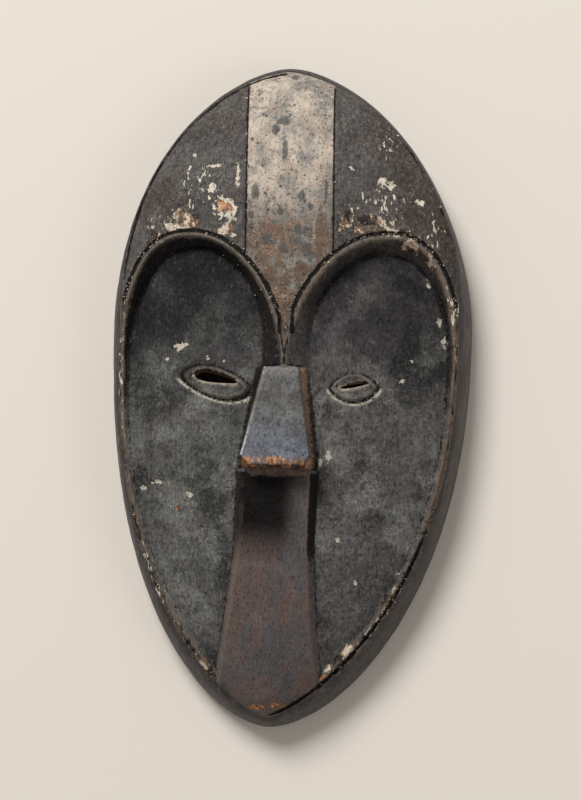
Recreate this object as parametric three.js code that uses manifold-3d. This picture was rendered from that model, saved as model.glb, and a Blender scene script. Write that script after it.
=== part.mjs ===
// A carved wooden face mask lying on its back rim, face up.
// Millimetres. +X to the viewer's right, +Y to the forehead, +Z out of the face.

import * as THREE from "three";
import { mergeVertices } from "three/addons/utils/BufferGeometryUtils.js";
import Module from "manifold-3d";

const wasm = await Module();
wasm.setup();

// Outline of the back rim
const MASK_WIDTH = 151.4;
const CROWN_LENGTH = 111.5; // from the widest level up to the top of the forehead
const CHIN_LENGTH = 167.1; // from the widest level down to the chin
const BOW = 4; // how far the chin swings to one side of the middle

// Body
const RIM_HEIGHT = 28; // side wall at the widest level
const RIM_DROP_TOP = 4; // how much lower the rim is at the forehead
const RIM_DROP_CHIN = 8; // how much lower it is at the chin
const SIDE_FLARE = 5; // how far the side wall spreads towards the back
const CROWN_FLARE = 4.6;
const CHIN_FLARE = 4.1;
const DOME_RISE = 19; // from the rim up to the crown of the face
const FOOT_WIDTH = 11; // flat back rim
const WALL = 7; // thinnest wall, behind the sunken lobes
const LOWEST_BACK = 2; // least height of the hollow's ceiling

// Sunken face
const RECESS_DEPTH = 9; // below the brows
const CHEEK_SINK = 2.5; // below the rim, on the cheeks
const RIM_BEAD = 1.9; // width of the rim left standing around the cheeks
const CHEEK_RUN = 1.8; // how far the wall around the cheeks slopes inwards

// Raised lines and cut lines
const LEFT_BEAD = 1.6; // width of the raised edge of each brow
const RIGHT_BEAD = 2.3;
const BEAD_RISE = 1.1;
const LINE_WIDTH = 1.3;
const LINE_DEPTH = 1.1;
const RIM_LINE_INSET = 0.85;
const RIM_LINE_WIDTH = 0.9;
const RIM_LINE_DEPTH = 1.1;
const ROOT_DEPTH = 2.5; // how far added relief reaches into the body

// Nose and the ridge below it
const NOSE_RISE = 19.5; // above the cheeks, at the tip
const ROOT_SLOPE = 3.6; // how much wider the nose is at its foot, on each side
const TIP_SLOPE = 1.6;
const NOSE_CORNER = 3.4; // rounding of the tip, seen from the front
const NOSE_EDGE = 0.9; // worn chamfer of the nose
const NOSE_FOLD_DOWN = 0.45; // the underside breaks here, as a share of the way down to its foot
const NOSE_FOLD_LEFT = 0.6; // and as a share of the tip's height
const RIDGE_RISE = 5.5;
const RIDGE_RISE_CHIN = 2.6;
const RIDGE_SLOPE = 3;

// Eyes
const LID_RISE = 1.7;
const LEFT_SLIT = 3.8; // height of the open slit
const RIGHT_SLIT = 1.6;

// Steps
const CROWN_STEPS = 38;
const CHIN_STEPS = 52;
const LEG_STEPS = 12;
const CHEEK_STEPS = 18;
const LINE_STEPS = 26;
const RIDGE_STEPS = 9;
const LID_STEPS = 24;
const BAND_STEPS = 8;
const SLIT_SIDES = 16;
const WELD = 0.03; // corners closer than this become one in a cut
const MERGE = 1e-5;
const QUARTER = Math.PI / 2;

// Shares of the mask's own width and length
const HALF_WIDTH = MASK_WIDTH / 2;
const MASK_LENGTH = CROWN_LENGTH + CHIN_LENGTH;
const across = (share) => share * HALF_WIDTH;
const along = (share) => (share * MASK_LENGTH) / 2;
const WIDEST_Y = (CHIN_LENGTH - CROWN_LENGTH) / 2;
const BOW_Y = along(0.15);
const CROWN_HEIGHT = RIM_HEIGHT + DOME_RISE;
const ABOVE = CROWN_HEIGHT + NOSE_RISE + WALL; // clear of everything

// Two eggs, the back rim and the front edge of the face: the sides are how full they are across
const BACK = {
  half: HALF_WIDTH,
  crown: CROWN_LENGTH,
  chin: CHIN_LENGTH,
  crownEnd: 1.86,
  chinEnd: 2.25,
  side: 0.582,
  crownSide: 0.571,
};
const FRONT = {
  half: HALF_WIDTH - SIDE_FLARE,
  crown: CROWN_LENGTH - CROWN_FLARE,
  chin: CHIN_LENGTH - CHIN_FLARE,
  crownEnd: 2.5,
  chinEnd: 2.61,
  side: 0.75,
  crownSide: 0.64,
};
const CROWN_BLEND = along(0.8); // over this length the side gives way to the crown's
const CHIN_PULL = 1.6; // lines inside the front edge keep further off at the pointed chin
const DOME_ROUND = 1.3;
const DOME_FULLNESS = 0.75;

// The side wall as [towards the front edge, share of the rim's height], then rings of the dome
const WALL_PROFILE = [[0, 0], [0, 0.12], [0.1, 0.42], [0.38, 0.72], [0.75, 0.92], [1, 1]];
const DOME_RINGS = [0.965, 0.91, 0.83, 0.72, 0.59, 0.45, 0.3, 0.14];
const HOLLOW_RINGS = [0.98, 0.9, 0.78, 0.62, 0.44, 0.24];

// Each brow is an arch from the bridge over its top to the temple, with the lobe's floor inside it
const BROWS = [
  {
    hand: -1,
    x: across(0.547),
    top: along(0.448),
    outer: across(0.374),
    bead: LEFT_BEAD,
    lobe: across(0.482),
    lobeTop: along(0.418),
  },
  {
    hand: 1,
    x: across(0.569),
    top: along(0.445),
    outer: across(0.343),
    bead: RIGHT_BEAD,
    lobe: across(0.502),
    lobeTop: along(0.407),
  },
];
const ARCH = { spring: 0, temple: along(0.036), innerRound: 2, outerRound: 2.4 };
const LOBE = {
  bridge: across(0.13),
  temple: across(0.892),
  spring: along(0.158),
  innerRound: 1.75,
  outerRound: 2.5,
};
const TEMPLE_Y = along(0.26); // where the raised brow ends at the rim
const BROW_FADE = { from: along(0.06), run: along(0.1), least: 0.2 }; // the two brows flatten where they meet
const DEEP_Y = along(0.36);
const SHALLOW_Y = along(-0.2);
const BAND = { left: across(0.226), right: across(0.25), foot: along(0.39), head: 0.9 };

const NOSE = {
  x: across(-0.015),
  root: along(0.058),
  tip: along(-0.232),
  foot: along(-0.272),
  rootHalf: across(0.092),
  tipHalf: across(0.184),
};
const RIDGE = {
  x: across(-0.016),
  head: along(-0.25),
  waist: along(-0.47),
  spread: along(-0.72),
  chin: along(-0.98),
  half: across(0.177),
  spreadHalf: across(0.221),
  chinHalf: across(0.29),
};

// Lids lean by skew: the upper one peaks towards the temple, the lower one towards the nose
const degrees = THREE.MathUtils.degToRad;
const EYES = [
  {
    x: across(-0.3745),
    y: along(0.014),
    half: across(0.186),
    high: along(0.0467),
    tilt: degrees(-7.6),
    skew: 0.6,
    slit: across(0.119),
    gap: LEFT_SLIT / 2,
    slitUp: along(0.0115),
    slitTilt: degrees(-11),
  },
  {
    x: across(0.375),
    y: along(0.006),
    half: across(0.123),
    high: along(0.0415),
    tilt: degrees(2.5),
    skew: 0,
    slit: across(0.07),
    gap: RIGHT_SLIT / 2,
    slitUp: along(0.006),
    slitTilt: degrees(11),
  },
];
const LID_POINT = 1.4; // how sharp the corners of the eye are
const LID_PROFILE = [[1, 0.1], [0.88, 0.9], [0.74, 1], [0.58, 0.45], [0.3, 0.55]];

const mix = (a, b, t) => a + (b - a) * t;
const smooth = (t) => THREE.MathUtils.smoothstep(t, 0, 1);
const bowAt = (y) => -BOW * ((y - BOW_Y) / along(1)) ** 2;
const bowed = (p) => new THREE.Vector2(p.x + bowAt(p.y), p.y);
const counted = (count, pointAt) => Array.from({ length: count }, (_, i) => pointAt(i));
const towards = (a, b, t) => new THREE.Vector2().lerpVectors(a, b, t);

const sideAt = (egg, y) => mix(egg.side, egg.crownSide, smooth((y - WIDEST_Y) / CROWN_BLEND));

// Half an egg as a curve from one widest point to the other, 1 for the crown and -1 for the chin
function halfEgg(egg, sign, steps) {
  const length = sign > 0 ? egg.crown : egg.chin;
  const end = sign > 0 ? egg.crownEnd : egg.chinEnd;
  const fine = counted(steps * 3 + 1, (i) => {
    const angle = (i / steps / 3) * Math.PI;
    const cos = Math.cos(angle);
    const y = WIDEST_Y + sign * length * Math.sin(angle) ** (2 / end);
    const x = sign * egg.half * Math.sign(cos) * Math.abs(cos) ** (2 * sideAt(egg, y));
    return new THREE.Vector2(x, y);
  });
  return new THREE.SplineCurve(fine).getSpacedPoints(steps).slice(0, -1);
}

const eggRing = (egg) => [...halfEgg(egg, 1, CROWN_STEPS), ...halfEgg(egg, -1, CHIN_STEPS)];
const inset = (egg, by) => ({
  ...egg,
  half: egg.half - by,
  crown: egg.crown - by,
  chin: egg.chin - by * CHIN_PULL,
});
const scaled = (ring, scale) => ring.map((p) => new THREE.Vector2(p.x * scale, mix(WIDEST_Y, p.y, scale)));
const raised = (ring, heightAt) =>
  ring.map(bowed).map((p) => new THREE.Vector3(p.x, p.y, heightAt(p.x, p.y)));

// Half width of an egg at one level
function eggHalf(egg, y) {
  const length = y > WIDEST_Y ? egg.crown : egg.chin;
  const end = y > WIDEST_Y ? egg.crownEnd : egg.chinEnd;
  return egg.half * Math.max(1 - (Math.abs(y - WIDEST_Y) / length) ** end, 0) ** sideAt(egg, y);
}

// 0 at the middle of the face, 1 at its front edge
function level(x, y) {
  const length = y > WIDEST_Y ? FRONT.crown : FRONT.chin;
  const end = y > WIDEST_Y ? FRONT.crownEnd : FRONT.chinEnd;
  const side = Math.abs(x - bowAt(y)) / FRONT.half;
  return side ** (1 / sideAt(FRONT, y)) + (Math.abs(y - WIDEST_Y) / length) ** end;
}

function rimAt(y) {
  const up = y > WIDEST_Y;
  const reach = Math.abs(y - WIDEST_Y) / (up ? CROWN_LENGTH : CHIN_LENGTH);
  return RIM_HEIGHT - (up ? RIM_DROP_TOP : RIM_DROP_CHIN) * Math.min(reach, 1) ** 2;
}

// The domed front before anything is sunk into it
function domeAt(x, y) {
  const rim = rimAt(y);
  return rim + (CROWN_HEIGHT - rim) * Math.max(1 - level(x, y) ** DOME_ROUND, 0) ** DOME_FULLNESS;
}

const sinkAt = (y) => mix(CHEEK_SINK, RECESS_DEPTH, smooth((y - SHALLOW_Y) / (DEEP_Y - SHALLOW_Y)));
const floorAt = (x, y) => domeAt(x, y) - sinkAt(y);

// Closed body through rings of points; an end closes on its own middle, or flat where it is level and concave
function loft(rings, levelEnds = false) {
  const count = rings[0].length;
  const points = rings.flat();
  const faces = [];
  for (let ring = 0; ring + 1 < rings.length; ring += 1) {
    for (let i = 0; i < count; i += 1) {
      const next = (i + 1) % count;
      const a = ring * count + i;
      const b = ring * count + next;
      faces.push(a, b, b + count, a, b + count, a + count);
    }
  }
  const end = (rings.length - 1) * count;
  if (levelEnds) {
    faces.push(...levelCap(rings[0]).flatMap(([a, b, c]) => [a, c, b]));
    faces.push(...levelCap(rings.at(-1)).flatMap(([a, b, c]) => [end + a, end + b, end + c]));
  } else {
    const middle = (ring) => ring.reduce((sum, p) => sum.add(p), new THREE.Vector3()).divideScalar(count);
    const first = points.push(middle(rings[0])) - 1;
    const last = points.push(middle(rings.at(-1))) - 1;
    for (let i = 0; i < count; i += 1) {
      const next = (i + 1) % count;
      faces.push(first, next, i, last, end + i, end + next);
    }
  }
  return solid(new THREE.BufferGeometry().setFromPoints(points).setIndex(faces));
}

function levelCap(ring) {
  const flat = ring.map((p) => new THREE.Vector2(p.x, p.y));
  const turns = THREE.ShapeUtils.area(flat) > 0;
  return THREE.ShapeUtils.triangulateShape(flat, []).map(([a, b, c]) => (turns ? [a, b, c] : [a, c, b]));
}

function solid(geometry) {
  geometry.deleteAttribute("normal");
  geometry.deleteAttribute("uv");
  const merged = mergeVertices(geometry, MERGE);
  const vertProperties = new Float32Array(merged.attributes.position.array);
  const triVerts = new Uint32Array(merged.index.array);
  const mesh = new wasm.Mesh({ numProp: 3, vertProperties, triVerts, tolerance: WELD });
  const body = new wasm.Manifold(mesh);
  return body.volume() < 0 ? solid(turnedOver(merged)) : body;
}

function turnedOver(geometry) {
  const index = geometry.index.array;
  for (let i = 0; i < index.length; i += 3) {
    [index[i], index[i + 1]] = [index[i + 1], index[i]];
  }
  return geometry;
}

// The whole block: flared side wall, then the domed front drawn in to the middle
function block() {
  const back = eggRing(BACK);
  const front = eggRing(FRONT);
  const wall = WALL_PROFILE.map(([lean, height]) =>
    raised(back.map((p, i) => towards(p, front[i], lean)), (x, y) => rimAt(y) * height),
  );
  return loft([...wall, ...DOME_RINGS.map((scale) => raised(scaled(front, scale), domeAt))]);
}

// The hollow back, one wall below the deepest carving
function hollow() {
  const open = eggRing(inset(BACK, FOOT_WIDTH)).filter((_, i) => i % 2 === 0);
  const ceiling = (x, y) => Math.max(domeAt(x, y) - RECESS_DEPTH - WALL, LOWEST_BACK);
  const mouth = [-WALL, 0].map((z) => raised(open, () => z));
  return loft([...mouth, ...HOLLOW_RINGS.map((scale) => raised(scaled(open, scale), ceiling))]);
}

// One lobe's outline between the crest of its brow (share 0) and the edge of its floor (share 1)
function lobeAt(brow, share) {
  return {
    x: mix(brow.x, brow.lobe, share),
    top: mix(brow.top, brow.lobeTop, share),
    inner: mix(brow.x, brow.lobe - LOBE.bridge, share),
    outer: mix(brow.outer, LOBE.temple - brow.lobe, share),
    spring: mix(ARCH.spring, LOBE.spring, share),
    temple: mix(ARCH.temple, 0, share),
    innerRound: mix(ARCH.innerRound, LOBE.innerRound, share),
    outerRound: mix(ARCH.outerRound, LOBE.outerRound, share),
  };
}

// How far a lobe's outline is from the middle at one level, on its inner or outer leg
function legX(lobe, y, inner) {
  const spring = inner ? lobe.spring : lobe.temple;
  const round = inner ? lobe.innerRound : lobe.outerRound;
  const height = THREE.MathUtils.clamp((y - spring) / (lobe.top - spring), 0, 1);
  const run = (1 - height ** round) ** (1 / round);
  return inner ? lobe.x - lobe.inner * run : lobe.x + lobe.outer * run;
}

// Half of the recess outline from the bridge over the lobe and down the cheek to the chin
function recessSide(brow, share) {
  const lobe = lobeAt(brow, share);
  const rim = inset(FRONT, RIM_BEAD + CHEEK_RUN * share);
  const start = NOSE.root - ROOT_DEPTH;
  const points = counted(LEG_STEPS, (i) => {
    const y = mix(start, lobe.top, Math.sin((i / LEG_STEPS) * QUARTER));
    return new THREE.Vector2(Math.max(legX(lobe, y, true), LINE_WIDTH / 4), y);
  });
  for (let i = 0; i < LEG_STEPS; i += 1) {
    const y = mix(lobe.top, 0, 1 - Math.cos((i / LEG_STEPS) * QUARTER));
    points.push(new THREE.Vector2(Math.min(legX(lobe, y, false), eggHalf(rim, y)), y));
  }
  const first = Math.asin((WIDEST_Y / rim.chin) ** (rim.chinEnd / 2));
  for (let i = 0; i < CHEEK_STEPS; i += 1) {
    const angle = mix(first, QUARTER, i / CHEEK_STEPS);
    const y = WIDEST_Y - rim.chin * Math.sin(angle) ** (2 / rim.chinEnd);
    points.push(new THREE.Vector2(rim.half * Math.cos(angle) ** (2 * rim.side), y));
  }
  return points.map((p) => new THREE.Vector2(p.x * brow.hand, p.y));
}

function recessOutline(share) {
  const [left, right] = BROWS.map((brow) => recessSide(brow, share));
  const rim = inset(FRONT, RIM_BEAD + CHEEK_RUN * share);
  return [...right, new THREE.Vector2(0, WIDEST_Y - rim.chin), ...left.reverse()];
}

// The body of air over the sunken face; its bottom reaches below the floor, which is added afterwards
function recess() {
  const crest = recessOutline(0);
  const foot = recessOutline(1);
  const below = raised(foot, () => WALL);
  const above = raised(crest, () => ABOVE);
  return loft([below, raised(foot, floorAt), raised(crest, domeAt), above], true);
}

// Everything below the sunken floor
function underFloor() {
  const ring = eggRing(inset(FRONT, RIM_BEAD / 2));
  const rings = DOME_RINGS.map((scale) => raised(scaled(ring, scale), floorAt));
  return loft([raised(ring, () => LOWEST_BACK), raised(ring, floorAt), ...rings]);
}

// A bar along a path on the dome; section lists [sideways, up] points, with up times the share at that level
function barAlong(path, section, shareAt = () => 1) {
  const rings = path.map((p, i) => {
    const before = path[Math.max(i - 1, 0)];
    const after = path[Math.min(i + 1, path.length - 1)];
    const side = new THREE.Vector2().subVectors(after, before).normalize();
    side.set(-side.y, side.x);
    const ground = domeAt(p.x, p.y);
    return section.map(([s, up]) => {
      const rise = up > 0 ? up * shareAt(p.y) : up;
      return new THREE.Vector3(p.x + side.x * s, p.y + side.y * s, ground + rise);
    });
  });
  return loft(rings);
}

const beadSection = (width) => [
  [-width / 2, -ROOT_DEPTH],
  [width / 2, -ROOT_DEPTH],
  [width / 2, BEAD_RISE / 2],
  [width / 4, BEAD_RISE],
  [-width / 4, BEAD_RISE],
  [-width / 2, BEAD_RISE / 2],
];
const cutSection = (width, depth) => [
  [0, -depth],
  [width / 2, 0],
  [width / 2, ROOT_DEPTH],
  [-width / 2, ROOT_DEPTH],
  [-width / 2, 0],
];

// A line along the brow from the bridge over the crown to the temple, off outside the crest
function browPath(brow, off, bridgeY) {
  const lobe = lobeAt(brow, 0);
  const grown = { ...lobe, top: lobe.top + off, inner: lobe.inner + off, outer: lobe.outer + off };
  const half = Math.round(LINE_STEPS / 2);
  const inner = counted(half, (i) => {
    const y = mix(bridgeY, grown.top, Math.sin((i / half) * QUARTER));
    return new THREE.Vector2(Math.max(legX(grown, y, true), off), y);
  });
  const outer = counted(half + 1, (i) => {
    const y = mix(grown.top, TEMPLE_Y, 1 - Math.cos((i / half) * QUARTER));
    return new THREE.Vector2(legX(grown, y, false), y);
  });
  return [...inner, ...outer].map((p) => bowed(new THREE.Vector2(p.x * brow.hand, p.y)));
}

function bandPath(x) {
  const head = WIDEST_Y + FRONT.crown * BAND.head;
  return counted(BAND_STEPS + 1, (i) => bowed(new THREE.Vector2(x, mix(BAND.foot, head, i / BAND_STEPS))));
}

// The cut line around the whole rim, joined from two halves that overlap
function rimLine() {
  const ring = eggRing(inset(FRONT, RIM_LINE_INSET)).map(bowed);
  const half = ring.length / 2;
  const halves = [0, half].map((start) => {
    const path = counted(half + 2, (i) => ring[(start + i) % ring.length]);
    return barAlong(path, cutSection(RIM_LINE_WIDTH, RIM_LINE_DEPTH));
  });
  return halves[0].add(halves[1]);
}

// One cross section of the nose or the ridge: foot, chamfer, flat top
function section(x, y, half, slope, foot, top) {
  return [
    [-half - slope, foot],
    [half + slope, foot],
    [half + NOSE_EDGE / 3, top - NOSE_EDGE],
    [half - NOSE_EDGE, top],
    [-half + NOSE_EDGE, top],
    [-half - NOSE_EDGE / 3, top - NOSE_EDGE],
  ].map(([s, z]) => new THREE.Vector3(x + bowAt(y) + s, y, z));
}

function nose() {
  const bridge = domeAt(0, NOSE.root);
  const tip = floorAt(0, NOSE.tip) + NOSE_RISE;
  const front = (y) => mix(bridge, tip, (NOSE.root - y) / (NOSE.root - NOSE.tip));
  const floor = floorAt(0, NOSE.foot);
  const shoulder = NOSE.tip + NOSE_CORNER;
  const fold = mix(NOSE.tip, NOSE.foot, NOSE_FOLD_DOWN);
  const narrow = NOSE.tipHalf - NOSE_CORNER;
  const cut = (y, topHalf, footHalf, top) =>
    section(NOSE.x, y, topHalf, footHalf - topHalf, floorAt(NOSE.x, y) - ROOT_DEPTH, top);
  return loft([
    cut(NOSE.root + NOSE_EDGE, NOSE.rootHalf - NOSE_EDGE, NOSE.rootHalf + ROOT_SLOPE, bridge - ROOT_DEPTH),
    cut(NOSE.root, NOSE.rootHalf, NOSE.rootHalf + ROOT_SLOPE, bridge),
    cut(shoulder, NOSE.tipHalf, NOSE.tipHalf + TIP_SLOPE, front(shoulder)),
    cut(NOSE.tip, narrow, NOSE.tipHalf + TIP_SLOPE, tip),
    cut(fold, narrow, NOSE.tipHalf, mix(floor, tip, NOSE_FOLD_LEFT)),
    cut(NOSE.foot, narrow, NOSE.tipHalf - TIP_SLOPE, floor + ROOT_DEPTH),
    cut(NOSE.foot - NOSE_EDGE, narrow, NOSE.tipHalf - TIP_SLOPE, floor),
  ]);
}

// The ridge is flat across below the nose and rounds off with the face towards the chin
function ridge() {
  const stations = [
    [RIDGE.head, RIDGE.half],
    [RIDGE.waist, RIDGE.half],
    [RIDGE.spread, RIDGE.spreadHalf],
    [RIDGE.chin, RIDGE.chinHalf],
  ];
  const path = new THREE.SplineCurve(stations.map(([y, half]) => new THREE.Vector2(half, y)));
  const rings = path.getPoints(RIDGE_STEPS).map(({ x: half, y }) => {
    const floor = floorAt(RIDGE.x, y);
    const down = (y - RIDGE.head) / (RIDGE.chin - RIDGE.head);
    const rise = mix(RIDGE_RISE, RIDGE_RISE_CHIN, down);
    const ring = section(RIDGE.x, y, half, RIDGE_SLOPE, floor - ROOT_DEPTH, floor + rise);
    ring.forEach((p) => {
      p.z += (floorAt(p.x, y) - floor) * down;
    });
    return ring;
  });
  return loft(rings).intersect(column(inset(FRONT, RIM_BEAD)));
}

// Everything inside an egg, standing straight up
function column(egg) {
  return loft([0, ABOVE].map((z) => raised(eggRing(egg), () => z)));
}

// A point of the eye's outline, share of the way out from its middle
function almond(eye, turn, share) {
  const angle = turn * Math.PI * 2;
  const sin = Math.sin(angle);
  const up = eye.high * share * Math.sign(sin) * Math.abs(sin) ** LID_POINT;
  const out = eye.half * share * Math.cos(angle) - eye.skew * up;
  const middle = new THREE.Vector2(eye.x, eye.y);
  return new THREE.Vector2(out, up).rotateAround(new THREE.Vector2(), eye.tilt).add(middle);
}

function eyelid(eye) {
  const rings = LID_PROFILE.map(([share, rise]) =>
    counted(LID_STEPS, (i) => {
      const p = almond(eye, i / LID_STEPS, share);
      return new THREE.Vector3(p.x, p.y, floorAt(p.x, p.y) + rise * LID_RISE);
    }),
  );
  const root = rings[0].map((p) => new THREE.Vector3(p.x, p.y, p.z - ROOT_DEPTH));
  return loft([root, ...rings]);
}

function eyeSlit(eye) {
  const middle = new THREE.Vector2(eye.x, eye.y + eye.slitUp);
  const outline = counted(SLIT_SIDES, (i) => {
    const angle = (i / SLIT_SIDES) * Math.PI * 2;
    const p = new THREE.Vector2(eye.slit * Math.cos(angle), eye.gap * Math.sin(angle));
    return p.rotateAround(new THREE.Vector2(), eye.slitTilt).add(middle);
  });
  return loft([-WALL, ABOVE].map((z) => outline.map((p) => new THREE.Vector3(p.x, p.y, z))));
}

function maskSolid() {
  let body = block().subtract(recess()).add(underFloor());
  for (const brow of BROWS) {
    const fade = (y) => mix(BROW_FADE.least, 1, smooth((y - BROW_FADE.from) / BROW_FADE.run));
    body = body.add(barAlong(browPath(brow, brow.bead / 2, BROW_FADE.from), beadSection(brow.bead), fade));
    const groove = browPath(brow, brow.bead + LINE_WIDTH / 2, BROW_FADE.from + BROW_FADE.run);
    body = body.subtract(barAlong(groove, cutSection(LINE_WIDTH, LINE_DEPTH)));
  }
  for (const x of [-BAND.left, BAND.right]) {
    body = body.subtract(barAlong(bandPath(x), cutSection(LINE_WIDTH, LINE_DEPTH)));
  }
  body = body.add(nose()).add(ridge());
  for (const eye of EYES) {
    body = body.add(eyelid(eye));
  }
  body = body.subtract(rimLine());
  for (const eye of EYES) {
    body = body.subtract(eyeSlit(eye));
  }
  return body.subtract(hollow());
}

function toGeometry(body) {
  const mesh = body.getMesh();
  const geometry = new THREE.BufferGeometry();
  geometry.setAttribute("position", new THREE.BufferAttribute(new Float32Array(mesh.vertProperties), 3));
  geometry.setIndex(new THREE.BufferAttribute(new Uint32Array(mesh.triVerts), 1));
  geometry.computeBoundingBox();
  const box = geometry.boundingBox;
  const middle = box.getCenter(new THREE.Vector3());
  geometry.translate(-middle.x, -middle.y, -box.min.z);
  geometry.computeVertexNormals();
  return geometry;
}

const wood = new THREE.MeshStandardMaterial({ color: 0x4b4847, roughness: 0.72, metalness: 0 });
const mask = new THREE.Mesh(toGeometry(maskSolid()), wood);
mask.name = "mask";

const part = new THREE.Group();
part.add(mask);

export default part;
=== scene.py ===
"""A carved and painted wooden face mask, dressed around its CAD solid."""

import math

import bpy
import numpy as np
from mathutils import Matrix, Vector
from mathutils.geometry import delaunay_2d_cdt


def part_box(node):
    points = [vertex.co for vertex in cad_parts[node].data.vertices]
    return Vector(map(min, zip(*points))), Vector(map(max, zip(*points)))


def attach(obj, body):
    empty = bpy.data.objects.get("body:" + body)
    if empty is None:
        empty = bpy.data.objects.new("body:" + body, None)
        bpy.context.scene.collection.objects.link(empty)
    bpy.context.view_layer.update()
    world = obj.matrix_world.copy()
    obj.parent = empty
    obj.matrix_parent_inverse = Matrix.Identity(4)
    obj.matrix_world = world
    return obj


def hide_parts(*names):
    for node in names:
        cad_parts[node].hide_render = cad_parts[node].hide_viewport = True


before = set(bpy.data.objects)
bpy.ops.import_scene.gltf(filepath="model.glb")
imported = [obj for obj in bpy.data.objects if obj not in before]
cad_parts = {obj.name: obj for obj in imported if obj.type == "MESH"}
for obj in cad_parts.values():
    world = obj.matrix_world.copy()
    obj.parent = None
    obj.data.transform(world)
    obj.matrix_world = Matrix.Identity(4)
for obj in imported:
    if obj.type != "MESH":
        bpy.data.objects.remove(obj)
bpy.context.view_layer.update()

# Sizes in millimetres, as carved in the CAD part; the outline's own size is read from it
MM = 0.001
LOW, HIGH = [np.array(corner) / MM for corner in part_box("mask")]
HALF_WIDTH = (HIGH[0] - LOW[0]) / 2
MASK_LENGTH = HIGH[1] - LOW[1]
CROWN_LENGTH = MASK_LENGTH * 0.4002
CHIN_LENGTH = MASK_LENGTH - CROWN_LENGTH
WIDEST_Y = (CHIN_LENGTH - CROWN_LENGTH) / 2
BOW = 4.0
BOW_Y = 0.15 * MASK_LENGTH / 2
RIM_HEIGHT = 28.0
RIM_DROP_TOP = 4.0
RIM_DROP_CHIN = 8.0
SIDE_FLARE = 5.0
CROWN_FLARE = 4.6
CHIN_FLARE = 4.1
CHIN_PULL = 1.6
CROWN_HEIGHT = 47.0
DOME_ROUND = 1.3
DOME_FULLNESS = 0.75
FOOT_WIDTH = 11.0
WALL = 7.0
LEAST_CEILING = 2.0
RECESS_DEPTH = 9.0
CHEEK_SINK = 2.5
RIM_BEAD = 1.9
CHEEK_RUN = 1.8
BEAD_RISE = 1.1
LINE_WIDTH = 1.3
LINE_DEPTH = 1.1
RIM_LINE_INSET = 0.85
RIM_LINE_WIDTH = 1.1
RIM_LINE_DEPTH = 1.3
GAP_DEPTH = 0.9
CHIP_DEPTH = 0.25
BARE_DEPTH = 0.35
ROOT_DEPTH = 2.5
NOSE_RISE = 19.5
ROOT_SLOPE = 3.6
TIP_SLOPE = 1.6
NOSE_CORNER = 3.4
NOSE_FOLD_DOWN = 0.45
NOSE_FOLD_LEFT = 0.6
RIDGE_RISE = 5.5
RIDGE_RISE_CHIN = 2.6
RIDGE_SLOPE = 3.0
LID_RISE = 1.7

# Height that any other part of the carving stands above
NOWHERE = -1e3

# Spacing of the fine mesh
GRAIN = 0.78
LINE_GRAIN = 0.46
RIM_COUNT = 640
CROWN_COUNT = 270
BACK_GRAIN = 2.4
PATH_STEP = 1.2
INSIDE_RIM = 0.993

# Room that a point keeps clear of others
RIM_ROOM = 0.5
SLIT_ROOM = 0.3
LINE_ROOM = 0.22
FIELD_ROOM = GRAIN * 0.5
BACK_ROOM = BACK_GRAIN * 0.45
BACK_SLIT_ROOM = 0.8


def placed_object(name, data):
    made = bpy.data.objects.new(name, data)
    bpy.context.scene.collection.objects.link(made)
    return made


def across(share):
    return share * HALF_WIDTH


def along(share):
    return share * MASK_LENGTH / 2


def mix(a, b, t):
    return a + (b - a) * t


def smooth(t):
    t = np.clip(t, 0.0, 1.0)
    return t * t * (3 - 2 * t)


def bump(value, width):
    """1 where the value is 0, falling off over the width."""
    return np.exp(-((value / width) ** 2))


def bow(y):
    return -BOW * ((y - BOW_Y) / along(1)) ** 2


def bowed(path):
    return np.stack([path[:, 0] + bow(path[:, 1]), path[:, 1]], 1)


def run_of(path):
    return np.r_[0, np.cumsum(np.linalg.norm(np.diff(path, axis=0), axis=1))]


def spaced(path, count):
    """The same path in count equal steps."""
    run = run_of(path)
    places = np.linspace(0, run[-1], count + 1)
    return np.stack([np.interp(places, run, path[:, i]) for i in (0, 1)], 1)


def resampled(path, step, closed=False):
    """The same path with points a step apart."""
    path = np.vstack([path, path[:1]]) if closed else path
    found = spaced(path, max(int(round(run_of(path)[-1] / step)), 2))
    return found[:-1] if closed else found


class Egg:
    """An egg-shaped outline: its reach, how blunt its two ends are and how full its sides and crown."""

    def __init__(self, half, crown, chin, crown_end, chin_end, side, crown_side):
        self.half, self.crown, self.chin = half, crown, chin
        self.crown_end, self.chin_end = crown_end, chin_end
        self.side, self.crown_side = side, crown_side

    def inset(self, by):
        shape = (self.crown_end, self.chin_end, self.side, self.crown_side)
        return Egg(self.half - by, self.crown - by, self.chin - by * CHIN_PULL, *shape)

    def side_at(self, y):
        return mix(self.side, self.crown_side, smooth((y - WIDEST_Y) / CROWN_BLEND))

    def end_share(self, y):
        up = y > WIDEST_Y
        share = np.abs(y - WIDEST_Y) / np.where(up, self.crown, self.chin)
        return share ** np.where(up, self.crown_end, self.chin_end)

    def half_at(self, y):
        return self.half * np.maximum(1 - self.end_share(y), 0) ** self.side_at(y)

    def level(self, x, y):
        """0 at the middle, 1 on the outline."""
        return (np.abs(x - bow(y)) / self.half) ** (1 / self.side_at(y)) + self.end_share(y)

    def loop(self):
        """The outline as evenly spaced points, the crown first."""
        angle = np.linspace(0, math.pi, 3001)
        cos, sin = np.cos(angle), np.abs(np.sin(angle))
        top = WIDEST_Y + self.crown * sin ** (2 / self.crown_end)
        low = WIDEST_Y - self.chin * sin ** (2 / self.chin_end)
        reach = np.sign(cos) * self.half
        crown_x = reach * np.abs(cos) ** (2 * self.side_at(top))
        chin_x = reach * np.abs(cos) ** (2 * self.side)
        crown = spaced(np.stack([crown_x, top], 1), CROWN_COUNT)
        chin = spaced(np.stack([-chin_x, low], 1), RIM_COUNT - CROWN_COUNT)
        return np.vstack([crown[:-1], chin[:-1]])


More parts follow.
